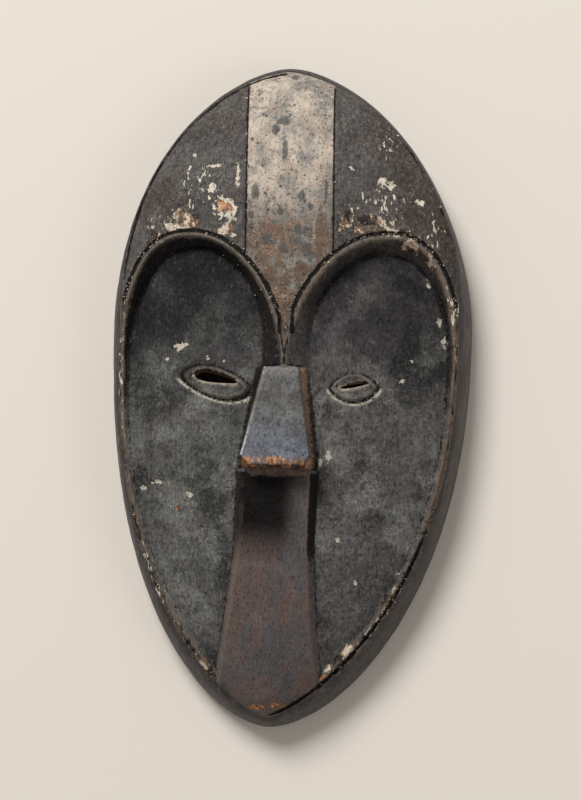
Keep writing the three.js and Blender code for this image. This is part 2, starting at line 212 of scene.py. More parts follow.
CROWN_BLEND = along(0.8)
BACK = Egg(HALF_WIDTH, CROWN_LENGTH, CHIN_LENGTH, 1.86, 2.25, 0.582, 0.571)
FRONT = Egg(
    HALF_WIDTH - SIDE_FLARE,
    CROWN_LENGTH - CROWN_FLARE,
    CHIN_LENGTH - CHIN_FLARE,
    crown_end=2.5,
    chin_end=2.61,
    side=0.75,
    crown_side=0.64,
)

# Each brow is an arch from the bridge over its top to the temple, with the lobe's floor inside it
BROWS = [
    {
        "hand": -1,
        "x": across(0.547),
        "top": along(0.448),
        "outer": across(0.374),
        "bead": 1.6,
        "lobe": across(0.482),
        "lobe_top": along(0.418),
    },
    {
        "hand": 1,
        "x": across(0.569),
        "top": along(0.445),
        "outer": across(0.343),
        "bead": 2.3,
        "lobe": across(0.502),
        "lobe_top": along(0.407),
    },
]
ARCH_TEMPLE, ARCH_INNER_ROUND, ARCH_OUTER_ROUND = along(0.036), 2.0, 2.4
LOBE_BRIDGE, LOBE_TEMPLE, LOBE_SPRING = across(0.13), across(0.892), along(0.158)
LOBE_INNER_ROUND, LOBE_OUTER_ROUND = 1.75, 2.5
TEMPLE_Y = along(0.26)
FADE_FROM, FADE_RUN, FADE_LEAST = along(0.06), along(0.1), 0.2
DEEP_Y = along(0.36)
SHALLOW_Y = along(-0.2)
BAND_LEFT, BAND_RIGHT, BAND_FOOT = across(0.226), across(0.25), along(0.39)

NOSE_X = across(-0.015)
NOSE_ROOT, NOSE_TIP, NOSE_FOOT = along(0.058), along(-0.232), along(-0.272)
NOSE_ROOT_HALF, NOSE_TIP_HALF = across(0.092), across(0.184)
NOSE_SHOULDER = NOSE_TIP + NOSE_CORNER
NOSE_FOLD = mix(NOSE_TIP, NOSE_FOOT, NOSE_FOLD_DOWN)

RIDGE_X = across(-0.016)
RIDGE_HEAD, RIDGE_CHIN = along(-0.25), along(-0.98)
RIDGE_PLACES = [RIDGE_CHIN, along(-0.72), along(-0.47), RIDGE_HEAD]
RIDGE_HALVES = [across(0.29), across(0.221), across(0.177), across(0.177)]

# Lids lean by skew; the slit is blunt at one end and pointed at the other
EYES = [
    {
        "middle": (across(-0.3745), along(0.014)),
        "half": across(0.186),
        "high": along(0.0467),
        "tilt": math.radians(-7.6),
        "skew": 0.6,
        "slit": across(0.119),
        "gap": 1.9,
        "slit_up": along(0.0115),
        "slit_tilt": math.radians(-11),
        "point": 0.45,
        "shear": 0.3,
    },
    {
        "middle": (across(0.375), along(0.006)),
        "half": across(0.123),
        "high": along(0.0415),
        "tilt": math.radians(2.5),
        "skew": 0.0,
        "slit": across(0.07),
        "gap": 0.8,
        "slit_up": along(0.006),
        "slit_tilt": math.radians(11),
        "point": 0.1,
        "shear": 0.9,
    },
]
LID_POINT = 1.4
LID_SHARES = [0.0, 0.3, 0.58, 0.76, 0.88, 1.0, 1.08, 1.3]
LID_HEIGHTS = [0.5, 0.55, 0.45, 1.0, 0.9, 0.0, -0.2, 0.0]


def rim_height(y):
    up = y > WIDEST_Y
    reach = np.abs(y - WIDEST_Y) / np.where(up, CROWN_LENGTH, CHIN_LENGTH)
    return RIM_HEIGHT - np.where(up, RIM_DROP_TOP, RIM_DROP_CHIN) * np.minimum(reach, 1) ** 2


def dome(x, y):
    rim = rim_height(y)
    return rim + (CROWN_HEIGHT - rim) * np.maximum(1 - FRONT.level(x, y) ** DOME_ROUND, 0) ** DOME_FULLNESS


def face_floor(x, y):
    return dome(x, y) - mix(CHEEK_SINK, RECESS_DEPTH, smooth((y - SHALLOW_Y) / (DEEP_Y - SHALLOW_Y)))


# Curves of the carving, seen from the front


def lobe_at(brow, share):
    """One lobe's outline between the crest of its brow (0) and the edge of its floor (1)."""
    return {
        "x": mix(brow["x"], brow["lobe"], share),
        "top": mix(brow["top"], brow["lobe_top"], share),
        "inner": mix(brow["x"], brow["lobe"] - LOBE_BRIDGE, share),
        "outer": mix(brow["outer"], LOBE_TEMPLE - brow["lobe"], share),
        "spring": mix(0, LOBE_SPRING, share),
        "temple": mix(ARCH_TEMPLE, 0, share),
        "inner_round": mix(ARCH_INNER_ROUND, LOBE_INNER_ROUND, share),
        "outer_round": mix(ARCH_OUTER_ROUND, LOBE_OUTER_ROUND, share),
    }


def inner_leg(lobe, y):
    height = np.clip((y - lobe["spring"]) / (lobe["top"] - lobe["spring"]), 0, 1)
    round_by = lobe["inner_round"]
    return lobe["x"] - lobe["inner"] * (1 - height**round_by) ** (1 / round_by)


def outer_leg(lobe, y):
    height = np.clip((y - lobe["temple"]) / (lobe["top"] - lobe["temple"]), 0, 1)
    round_by = lobe["outer_round"]
    return lobe["x"] + lobe["outer"] * (1 - height**round_by) ** (1 / round_by)


def recess_side(brow, share):
    lobe = lobe_at(brow, share)
    rim = FRONT.inset(RIM_BEAD + CHEEK_RUN * share)
    quarter = np.linspace(0, math.pi / 2, 90, endpoint=False)
    up = mix(NOSE_ROOT - ROOT_DEPTH, lobe["top"], np.sin(quarter))
    down = mix(lobe["top"], 0, 1 - np.cos(quarter))
    turn = np.linspace(math.asin((WIDEST_Y / rim.chin) ** (rim.chin_end / 2)), math.pi / 2, 160)
    low = WIDEST_Y - rim.chin * np.sin(turn) ** (2 / rim.chin_end)
    inner = np.maximum(inner_leg(lobe, up), LINE_WIDTH / 4)
    outer = np.minimum(outer_leg(lobe, down), rim.half_at(down))
    cheek = rim.half * np.abs(np.cos(turn)) ** (2 * rim.side)
    return np.stack([np.r_[inner, outer, cheek] * brow["hand"], np.r_[up, down, low]], 1)


def recess_loop(share):
    left, right = [recess_side(brow, share) for brow in BROWS]
    return bowed(np.vstack([right, left[::-1][1:]]))


CREST = recess_loop(0)
FLOOR_EDGE = recess_loop(1)


def brow_path(brow, off, bridge_y):
    """A line along the brow from the bridge over the crown to the temple, off outside the crest."""
    lobe = lobe_at(brow, 0)
    for name in ("top", "inner", "outer"):
        lobe[name] += off
    quarter = np.linspace(0, math.pi / 2, 120)
    up = mix(bridge_y, lobe["top"], np.sin(quarter[:-1]))
    down = mix(lobe["top"], TEMPLE_Y, 1 - np.cos(quarter))
    x = np.r_[np.maximum(inner_leg(lobe, up), off), outer_leg(lobe, down)]
    return bowed(np.stack([x * brow["hand"], np.r_[up, down]], 1))


def band_path(x):
    y = np.linspace(BAND_FOOT, WIDEST_Y + FRONT.crown * 0.93, 60)
    return bowed(np.stack([np.full(60, x), y], 1))


def inside_loop(points, loop):
    inside = np.zeros(len(points), bool)
    for p, q in zip(loop, np.roll(loop, -1, axis=0)):
        crosses = (p[1] > points[:, 1]) != (q[1] > points[:, 1])
        if crosses.any():
            x = p[0] + (points[:, 1] - p[1]) / (q[1] - p[1]) * (q[0] - p[0])
            inside ^= crosses & (points[:, 0] < x)
    return inside


def distance(points, path, closed=False):
    """Distance from each point to a path."""
    starts = path if closed else path[:-1]
    ends = np.roll(path, -1, axis=0) if closed else path[1:]
    best = np.full(len(points), 1e9)
    for a, b in zip(starts, ends):
        step = b - a
        rel = points - a
        t = np.clip(rel @ step / max(step @ step, 1e-9), 0, 1)
        best = np.minimum(best, np.hypot(rel[:, 0] - t * step[0], rel[:, 1] - t * step[1]))
    return best


# Noise that is the same each run


def noise(x, y, size, seed):
    """Smooth values from -1 to 1 that change over about one size."""
    rng = np.random.default_rng(seed)
    count = 64
    grid = rng.uniform(-1, 1, (count, count))
    u, v = x / size + 1000.0, y / size + 1000.0
    i, j = np.floor(u).astype(int), np.floor(v).astype(int)
    s, t = smooth(u - i), smooth(v - j)

    def corner(a, b):
        return grid[(i + a) % count, (j + b) % count]

    low = mix(corner(0, 0), corner(1, 0), s)
    high = mix(corner(0, 1), corner(1, 1), s)
    return mix(low, high, t)


def rough(x, y, size, seed, steps=3):
    return sum(noise(x, y, size / 2**k, seed + k) / 2**k for k in range(steps)) / 1.6


# The carved front as one height for each place


def nose_shape(x, y):
    """Height of the wedge nose and the distance outside its upper edge."""
    left = x < NOSE_X + bow(y)
    places = [NOSE_FOOT, NOSE_FOLD, NOSE_TIP, NOSE_SHOULDER, NOSE_ROOT]
    narrow = NOSE_TIP_HALF - NOSE_CORNER
    halves_left = [narrow - 0.6, narrow - 0.3, narrow, NOSE_TIP_HALF, NOSE_ROOT_HALF]
    halves_right = [narrow + 2.6, narrow + 2.2, narrow + 1.6, NOSE_TIP_HALF, NOSE_ROOT_HALF]
    half = np.where(left, np.interp(y, places, halves_left), np.interp(y, places, halves_right))
    feet = [NOSE_TIP_HALF - TIP_SLOPE, NOSE_TIP_HALF, NOSE_TIP_HALF + TIP_SLOPE]
    feet += [NOSE_TIP_HALF + TIP_SLOPE, NOSE_ROOT_HALF + ROOT_SLOPE]
    slope = np.maximum(np.interp(y, places, feet) - half, 0.4)

    bridge = float(dome(0.0, NOSE_ROOT))
    floor = float(face_floor(0.0, NOSE_FOOT))
    tip = float(face_floor(0.0, NOSE_TIP)) + NOSE_RISE
    front = bridge + (tip - bridge) * (NOSE_ROOT - y) / (NOSE_ROOT - NOSE_TIP)
    fold = mix(floor, tip, NOSE_FOLD_LEFT)
    heights = [floor, floor + 2.5, fold, tip]
    under = np.interp(y, [NOSE_FOOT - 0.9, NOSE_FOOT, NOSE_FOLD, NOSE_TIP - 0.5], heights)
    top = np.where(y > NOSE_TIP - 0.5, np.minimum(front, tip), under)
    off = np.abs(x - NOSE_X - bow(y)) - half
    foot = face_floor(x, y)
    side = foot + (slope - off) / slope * (top - foot)
    worn = 0.5 * smooth(1 - np.abs(off) / 1.4) + 0.7 * smooth(1 - np.abs(y - NOSE_TIP) / 1.6)
    height = np.minimum(top, side) - worn
    covered = (y < NOSE_ROOT + 0.3) & (y > NOSE_FOOT - 1.5)
    return np.where(covered, height, NOWHERE), off


def ridge_half(y):
    return np.interp(y, RIDGE_PLACES, RIDGE_HALVES)


def ridge_shape(x, y):
    """The ridge is flat across below the nose and rounds off with the face towards the chin."""
    half = ridge_half(y)
    down = np.clip((RIDGE_HEAD - y) / (RIDGE_HEAD - RIDGE_CHIN), 0, 1)
    off = np.abs(x - RIDGE_X - bow(y)) - half
    foot = face_floor(x, y)
    middle = face_floor(RIDGE_X + bow(y), y)
    top = middle + (foot - middle) * down + mix(RIDGE_RISE, RIDGE_RISE_CHIN, down)
    side = foot + (RIDGE_SLOPE - off) / RIDGE_SLOPE * (top - foot)
    height = np.minimum(top, side) - 0.35 * smooth(1 - np.abs(off) / 1.2)
    return np.where(y > RIDGE_HEAD + 1, NOWHERE, height), off


def turned(points, angle):
    cos, sin = math.cos(angle), math.sin(angle)
    return points @ np.array([[cos, sin], [-sin, cos]])


def lid_share(eye, points):
    """0 in the middle of the eye, 1 on the outer line of its lids, and the height above its middle line."""
    rel = turned(points - eye["middle"], -eye["tilt"])
    up = np.abs(rel[:, 1]) / eye["high"]
    out = np.abs(rel[:, 0] + eye["skew"] * rel[:, 1]) / eye["half"]
    near, far = np.full(len(points), 1e-3), np.full(len(points), 3.0)
    for _ in range(22):
        share = (near + far) / 2
        outside = (out / share) ** 2 + (up / share) ** (2 / LID_POINT) > 1
        near = np.where(outside, share, near)
        far = np.where(outside, far, share)
    return (near + far) / 2, rel[:, 1]


def lid_loop(eye, share, count=90):
    angle = np.linspace(0, 2 * math.pi, count, endpoint=False)
    sin = np.sin(angle)
    up = eye["high"] * share * np.sign(sin) * np.abs(sin) ** LID_POINT
    out = eye["half"] * share * np.cos(angle) - eye["skew"] * up
    return turned(np.stack([out, up], 1), eye["tilt"]) + eye["middle"]


def slit_loop(eye, count=60):
    angle = np.linspace(0, 2 * math.pi, count, endpoint=False)
    cos, sin = np.cos(angle), np.sin(angle)
    up = eye["gap"] * np.sign(sin) * np.abs(sin) ** 0.8 * (1 - eye["point"] * cos)
    out = eye["slit"] * cos + eye["shear"] * up
    x, y = eye["middle"]
    return turned(np.stack([out, up], 1), eye["slit_tilt"]) + (x, y + eye["slit_up"])


# Old damage, as (across, along, half width, half height) in millimetres
LOST_PAINT = {
    "ring on the left lobe": (-44.5, 17.2, 2.6, 1.7),
    "nick above the left eye": (-32.2, 12.1, 0.8, 0.8),
    "nick left of it": (-49.4, 11.8, 0.9, 0.7),
    "nick right of it": (-25.4, 10.8, 0.8, 0.6),
    "hole in the left cheek": (-38.2, -44.2, 1.3, 1.0),
    "score in the left cheek": (-52.4, -39.3, 1.9, 0.8),
    "nick beside it": (-58.5, -41.7, 1.2, 0.9),
    "nick on the right cheek": (23.4, -61.5, 0.8, 1.0),
    "nick below it": (30.5, -79.1, 0.7, 1.2),
    "chip by the right eye": (47.6, 4.4, 2.2, 0.8),
    "chip at the right temple": (62.4, 29.8, 1.0, 1.7),
    "chip below it": (64.2, 21.8, 0.9, 2.2),
    "nick in the right lobe": (57.3, 45.0, 0.7, 0.9),
    "nick under it": (51.6, 12.7, 0.7, 0.7),
    "twin chips on the forehead": (38.0, 86.6, 2.0, 2.0),
    "second of the twins": (41.6, 85.0, 1.6, 1.7),
    "nick high on the forehead": (25.2, 91.7, 0.8, 1.0),
    "chip at the right edge": (53.8, 78.8, 1.8, 1.2),
    "flaking by the left brow": (-45.0, 70.5, 3.0, 3.4),
    "flaking further down": (-48.8, 66.0, 2.8, 1.9),
    "flaking beside the band": (-24.6, 70.6, 1.0, 3.4),
    "flaking over the right brow": (25.5, 71.0, 1.0, 3.0),
    "flaking right of it": (33.5, 66.4, 5.2, 1.6),
    "wedge on the right brow": (37.4, 68.6, 2.0, 1.8),
    "flaking at its end": (43.0, 64.6, 2.2, 1.3),
    "nick by the band": (-22.5, 62.5, 1.6, 0.7),
    "scratch on the forehead": (-31.5, 92.0, 3.4, 0.6),
    "nick left of the scratch": (-40.7, 97.3, 0.8, 0.9),
    "pale ring round the bare spot": (-26.6, 74.2, 3.9, 3.7),
    "smear beside it": (-22.6, 71.8, 1.0, 2.8),
    "strip by the band": (-21.7, 88.0, 0.8, 4.6),
    "chip over the bare spot": (-32.2, 82.4, 1.5, 1.7),
    "chip on the nose's right corner": (15.4, -30.2, 0.9, 1.6),
    "chip beside the nose": (18.6, -27.4, 1.2, 2.2),
    "chip on the lower right rim": (59.6, -66.0, 0.9, 2.2),
    "chip where the ridge meets the rim": (21.0, -114.0, 2.6, 1.2),
    "chip on the lower left rim": (-42.0, -106.0, 1.6, 1.4),
    "dash on the lower left rim": (-58.4, -84.0, 0.8, 2.2),
}
BARE_WOOD = {
    "spot on the left forehead": (-26.6, 74.0, 3.0, 2.6),
    "dot on the left cheek": (-43.0, -49.9, 1.0, 0.9),
    "chin": (-9.0, -130.6, 3.0, 1.3),
    "right of the chin": (-0.5, -129.5, 3.6, 1.0),
    "hole in the lower right rim": (18.4, -117.6, 1.6, 1.3),
}
BROKEN = {
    "along the right brow": (36.0, 65.6, 13.0, 2.4),
    "over the right brow": (33.0, 69.0, 10.0, 3.4),
    "where the right brow ends": (50.6, 61.0, 4.0, 5.0),
    "beside the band": (24.6, 69.6, 2.6, 5.0),
    "right of the brow": (58.0, 56.0, 2.4, 6.0),
    "over the left brow": (-43.0, 69.4, 7.0, 4.2),
    "left brow by the band": (-26.0, 65.0, 4.6, 2.6),
    "temple of the left brow": (-57.0, 62.0, 3.0, 4.0),
    "foot of the clay band": (-2.0, 38.0, 5.0, 7.0),
    "lower right rim": (47.0, -89.0, 9.0, 10.0),
    "rim right of the ridge": (27.0, -111.0, 9.0, 7.0),
    "rim left of the chin": (-32.0, -116.0, 7.0, 5.0),
}
FLECKS = {
    "left forehead": (-38.0, 84.0, 14.0, 17.0),
    "left temple": (-57.0, 66.0, 5.0, 14.0),
    "over the left brow": (-44.0, 68.0, 16.0, 5.0),
    "high right forehead": (41.0, 103.0, 8.0, 11.0),
    "right forehead": (37.0, 78.0, 16.0, 12.0),
    "right edge": (59.0, 66.0, 6.0, 26.0),
    "right temple": (66.0, 36.0, 4.0, 20.0),
    "left rim": (-67.0, 12.0, 4.0, 26.0),
    "lower left rim": (-55.0, -84.0, 6.0, 22.0),
    "lower right rim": (40.0, -98.0, 16.0, 16.0),
}
BLOTCHES = {
    "large blotch on the band": (-3.4, 111.0, 2.6, 2.2),
    "its tail": (-6.6, 107.5, 1.7, 2.2),
    "blotch at the crown": (-0.3, 132.0, 1.8, 1.2),
    "middle blotch": (5.3, 78.8, 1.6, 2.2),
    "right blotch": (9.2, 74.3, 1.3, 1.6),
    "left blotch": (-3.0, 71.9, 1.5, 1.4),
    "blotch at the left line": (-15.6, 70.7, 1.4, 1.6),
    "low blotch": (4.1, 65.4, 1.4, 1.5),
    "bluish streak": (-2.4, 98.3, 1.2, 5.2),
    "brown run": (15.2, 82.0, 0.7, 5.0),
    "smudge near the foot": (-2.0, 57.0, 1.6, 2.2),
    "smudge left of it": (-9.0, 61.0, 1.6, 1.4),
    "smudge at the left line": (-14.0, 80.0, 1.8, 3.0),
}


def placed(x, y, spots):
    """How far inside the nearest spot each place is: above 0.5 within it, 0 well outside."""
    found = np.zeros(len(x))
    for spot_x, spot_y, half, high in spots.values():
        reach = np.hypot((x - spot_x) / half, (y - spot_y) / high)
        found = np.maximum(found, np.clip(1.25 - 0.75 * reach, 0, 1))
    return found


def gathered(x, y, spots):
    """Softly 1 in the middle of each spot."""
    reaches = [np.hypot((x - a) / half, (y - b) / high) for a, b, half, high in spots.values()]
    return np.exp(-(np.min(reaches, axis=0) ** 2))


def rim_line_strength(x, y):
    """The cut line is a deep crack round the lower right, broken at the upper left, faint at the left."""
    crack = smooth((-y - 50) / 25) * smooth((x + 8) / 12)
    upper_left = smooth((y - 40) / 20) * smooth(-x / 10)
    broken = 0.3 * noise(x, y, 7.0, 21) + 0.3 * noise(x, y, 2.6, 22)
    return np.clip(0.32 + 1.1 * crack + 0.85 * upper_left + 1.4 * broken, 0.0, 1.6)


class Carving:
    """The front as it is carved: a height for each plan point, and the masks that paint and wear follow."""

    def __init__(self, points):
        self.points = points
        self.x, self.y = points[:, 0], points[:, 1]
        self.sideways = self.x - bow(self.y)
        self.mask = {}

    def most(self, name, values):
        """Raises a mask to the values where they are higher."""
        self.mask[name] = np.maximum(self.mask.get(name, 0.0), values)

    def sink_recess(self):
        """Lobes and cheeks, with an open gap at the foot of their wall."""
        x, y = self.x, self.y
        crest, edge = resampled(CREST, PATH_STEP, True), resampled(FLOOR_EDGE, PATH_STEP, True)
        to_crest, to_floor = distance(self.points, crest, True), distance(self.points, edge, True)
        in_crest, in_floor = inside_loop(self.points, crest), inside_loop(self.points, edge)
        down = np.where(in_floor, 1.0, np.where(in_crest, to_crest / (to_crest + to_floor + 1e-6), 0.0))
        self.outside = np.where(in_crest, -to_crest, to_crest)
        self.z = mix(dome(x, y), face_floor(x, y), down)
        self.mask["recess"] = down
        brow_level = smooth((y - SHALLOW_Y) / 40)
        on_wall = smooth(down / 0.2) * smooth((1.02 - down) / 0.1)
        # The wall mask carries painted shade: the walls under the brows are painted near-black, full on the
        # left and a quarter as much on the right, fading towards the cheeks.
        self.mask["wall"] = on_wall * brow_level * np.where(x < 0, 1, 0.25)
        # The gap is carved deeper and later painted near-black, partly as painted shade in the undercut.
        open_foot = np.where(x < 0, 0.9 * smooth((y + 5) / 40), 0.8 * smooth((y - 5) / 40))
        gap = bump(to_floor, 0.5) * open_foot * np.clip(0.55 + 0.8 * noise(x, y, 5.0, 61), 0, 1)
        self.z -= GAP_DEPTH * gap
        self.mask["gap"] = gap

    def lay_band(self):
        """The clay band ends clear of its two cut lines and of the brows."""
        edge_of_band = np.minimum(self.sideways + BAND_LEFT, BAND_RIGHT - self.sideways)
        clear_of_brow = self.outside - np.where(self.x < 0, BROWS[0]["bead"], BROWS[1]["bead"]) - LINE_WIDTH
        self.mask["band"] = np.clip(0.5 + np.minimum(edge_of_band, clear_of_brow) / 1.4, 0, 1) * (self.y > 0)

    def cut_brows(self):
        """A raised bead along each crest, with a groove outside it."""
        x, y = self.x, self.y
        on_top = 1 - self.mask["recess"]
        for brow in BROWS:
            half = brow["bead"] / 2
            bead = distance(self.points, resampled(brow_path(brow, half, FADE_FROM), PATH_STEP))
            fade = mix(FADE_LEAST, 1, smooth((y - FADE_FROM) / FADE_RUN))
            ragged = 1 - 0.25 * np.maximum(noise(x, y, 3.0, 71), 0)
            across_bead = np.sqrt(np.maximum(1 - (bead / (half + 0.15)) ** 2, 0))
            self.z += BEAD_RISE * fade * ragged * across_bead * on_top
            groove_path = brow_path(brow, brow["bead"] + LINE_WIDTH / 2, FADE_FROM + FADE_RUN)
            groove = distance(self.points, resampled(groove_path, PATH_STEP)) / (LINE_WIDTH / 2)
            self.z -= LINE_DEPTH * smooth(1 - groove) * (1 + 0.35 * noise(x, y, 2.2, 72))
            self.most("bead", bump(bead, half * 0.75) * on_top)
            self.most("line", smooth(1.7 - groove))

    def cut_band_lines(self):
        """The line on each side of the band, and the two brow grooves closing on the bridge."""
        x, y = self.x, self.y
        for place, depth in ((-BAND_LEFT, 1.0), (BAND_RIGHT, 0.7)):
            reach = distance(self.points, resampled(band_path(place), 1.5))
            reach = (reach + 0.25 * np.abs(noise(x, y, 3.0, 73))) / (LINE_WIDTH / 2)
            self.z -= LINE_DEPTH * smooth(1 - reach) * (1 + 0.5 * noise(x, y, 2.4, 74)) * depth
            self.most("line", smooth(1.4 - reach))
        closing = bump(np.abs(self.sideways) - mix(0.2, 2.7, smooth((y - 12) / 16)), 0.55)
        self.most("line", 0.8 * closing * (y > 9) * (y < 30))

    def raise_ridge_and_nose(self):
        x, y, sideways, mask = self.x, self.y, self.sideways, self.mask
        ridge, ridge_off = ridge_shape(x, y)
        nose, nose_off = nose_shape(x, y)
        on_ridge = smooth((ridge - self.z + 0.3) / 0.6)
        self.z = np.maximum(self.z, ridge)
        on_nose = smooth((nose - self.z + 0.3) / 0.6)
        self.z = np.maximum(self.z, nose)
        self.on_ridge, self.off_nose = on_ridge, 1 - on_nose

        mask["ridge"] = on_ridge * self.off_nose
        below_nose = (y < RIDGE_HEAD) * self.off_nose
        right_side = sideways > RIDGE_X
        # Painted shadow down the ridge's side faces, strongest on its right side below the nose and weaker on
        # its left.
        foot_share = np.where(right_side, mix(0.3, 1, smooth((y - along(-0.56)) / 20)), 0.25)
        side_face = smooth((ridge_off - 0.2) / 0.6) * smooth((RIDGE_SLOPE + 0.9 - ridge_off) / 0.9)
        mask["ridge_foot"] = side_face * below_nose * foot_share
        # Painted highlight on the ridge's left bevel, the side towards the light, low down on the ridge.
        mask["ridge_left"] = bump(ridge_off - 1.0, 1.0) * below_nose * ~right_side * smooth((-62 - y) / 14)
        mask["ridge_right"] = bump(ridge_off - 0.2, 0.4) * below_nose * right_side
        # Painted shadow: the nose's cast shadow on the ridge below it, darkest just under the nose and fading
        # downwards.
        shade_x = np.maximum(np.abs(sideways + 6.5) - 7.5, 0)
        shade_down = 1 - smooth((NOSE_FOOT - 16 - y) / 22)
        mask["under_nose"] = shade_down * bump(shade_x, 6.0) * below_nose

        above_tip = (y > NOSE_TIP) * on_nose
        mask["nose"] = on_nose
        mask["nose_lip"] = on_nose * smooth((NOSE_TIP - 1.4 - y) / 0.8)
        mask["nose_right"] = on_nose * smooth((nose_off - 0.1) / 0.6) * (sideways > NOSE_X)
        mask["nose_front"] = np.clip(0.5 - nose_off / 0.8, 0, 1) * above_tip
        mask["nose_tip"] = bump(y - NOSE_TIP - 0.6, 2.3) * on_nose
        # Painted highlight along the nose's upper left edge, the side towards the light.
        mask["nose_edge"] = bump(nose_off + 0.3, 0.28) * (sideways < NOSE_X) * above_tip

    def raise_lids(self):
        for eye in EYES:
            share, up = lid_share(eye, self.points)
            self.z += LID_RISE * np.interp(share, LID_SHARES, LID_HEIGHTS) * self.off_nose
            to_slit = distance(self.points, slit_loop(eye), True)
            above_slit = up >= eye["slit_up"] + 0.3
            lip = bump(to_slit - 0.35, 0.45) * np.where(above_slit, 0.1, 1.0)
            outer = bump(share - 1.2, 0.07) * smooth(-up / 1.5)
            self.most("lid", np.maximum(lip, 0.8 * outer) * self.off_nose)
            lines = np.maximum(bump(share - 1.06, 0.08), 0.7 * bump(share - 0.78, 0.05) * (up > -1))
            # The dark line just above each slit is partly soot and partly painted shadow of the upper lid.
            lines = np.maximum(lines, bump(to_slit - 0.2, 0.5) * above_slit)
            self.most("lid_line", lines * self.off_nose)

    def cut_rim_line(self):
        line = resampled(bowed(FRONT.inset(RIM_LINE_INSET).loop()), PATH_STEP, True)
        strength = rim_line_strength(self.x, self.y)
        half = RIM_LINE_WIDTH / 2 * (0.8 + 0.9 * np.maximum(strength - 0.5, 0))
        rim = distance(self.points, line, True) / half
        self.z -= RIM_LINE_DEPTH * smooth(1 - rim) * strength
        self.mask["rim_line"] = smooth(1.3 - rim) * np.clip(strength, 0, 1)

    def break_edges(self):
        """The splintered lower rim, the broken brow crests, and where clay has crumbled."""
        x, y, mask, outside = self.x, self.y, self.mask, self.outside
        mask["lip"] = (outside > -0.2) * smooth((TEMPLE_Y + 8 - y) / 10) * (1 - self.on_ridge)
        low_lip = mask["lip"] * smooth((-10 - y) / 60)
        splintered = smooth((noise(x, y, 2.4, 91) - 0.25) / 0.3) * low_lip
        self.z += 0.35 * low_lip * rough(x, y, 5.0, 92) - 0.8 * splintered
        mask["splintered"] = splintered
        mask["broken"] = gathered(x, y, BROKEN) * self.off_nose * smooth((outside + 4) / 2)
        torn = np.clip(mask["broken"] * 1.4 - 0.2, 0, 1) * (outside > -1.5)
        self.z += 0.45 * torn * rough(x, y, 1.9, 95)
        near_brow = smooth((y - 20) / 20) * np.maximum(mask["line"], 0.4 * mask["gap"])
        crumbs = 0.5 * near_brow + 0.9 * mask["broken"] * (outside > 0) + 0.5 * splintered
        mask["crumbs"] = np.clip(crumbs, 0, 1) * (np.abs(y) < 125)

    def chip_paint(self):
        x, y, mask = self.x, self.y, self.mask
        mask["flecks"] = gathered(x, y, FLECKS) * (self.outside > 0)
        for name, spots in (("chip", LOST_PAINT), ("bare", BARE_WOOD), ("blotch", BLOTCHES)):
            mask[name] = placed(x, y, spots)
        self.z -= CHIP_DEPTH * smooth(mask["chip"] * 2 - 0.6) + BARE_DEPTH * smooth(mask["bare"] * 2 - 0.6)

    def leave_tool_marks(self):
        x, y = self.x, self.y
        knife = noise(x * 1.6 + 0.2 * y, y * 0.5, 7.0, 5)
        self.z += 0.26 * rough(x, y, 14.0, 3) + 0.1 * rough(x, y, 3.2, 11) + 0.1 * knife


def carve(points):
    """Heights of the front, and its masks."""
    front = Carving(points)
    front.sink_recess()
    front.lay_band()
    front.cut_brows()
    front.cut_band_lines()
    front.raise_ridge_and_nose()
    front.raise_lids()
    front.cut_rim_line()
    front.break_edges()
    front.chip_paint()
    front.leave_tool_marks()
    return front.z, front.mask


# The mesh of the front: close points along each carved line, a hexagonal field between them


class Field:
    """Marks which places already hold a point, on a fine raster."""

    CELL = 0.16

    def __init__(self):
        self.origin = np.array([-HALF_WIDTH - 5, -along(1) - 5])
        shape = ((HALF_WIDTH * 2 + 10) / self.CELL, (MASK_LENGTH + 10) / self.CELL)
        self.taken = np.zeros([int(s) + 2 for s in shape], bool)

    def index(self, points):
        return np.floor((points - self.origin) / self.CELL).astype(int)

    def free(self, points):
        i = self.index(points)
        return ~self.taken[i[:, 0], i[:, 1]]

    def claim(self, points, radius):
        reach = int(math.ceil(radius / self.CELL))
        i = self.index(points)
        for a in range(-reach, reach + 1):
            for b in range(-reach, reach + 1):
                if math.hypot(a, b) * self.CELL <= radius:
                    self.taken[i[:, 0] + a, i[:, 1] + b] = True


def hexagonal(step):
    """A field of points a step apart over the whole mask."""
    rows = np.arange(-along(1), along(1), step * math.sqrt(3) / 2)
    columns = np.arange(-HALF_WIDTH, HALF_WIDTH, step)
    grid = np.stack(np.meshgrid(columns, rows), -1)
    grid[1::2, :, 0] += step / 2
    return grid.reshape(-1, 2)


def beside(x, y):
    return np.stack([x + bow(y), y], 1)


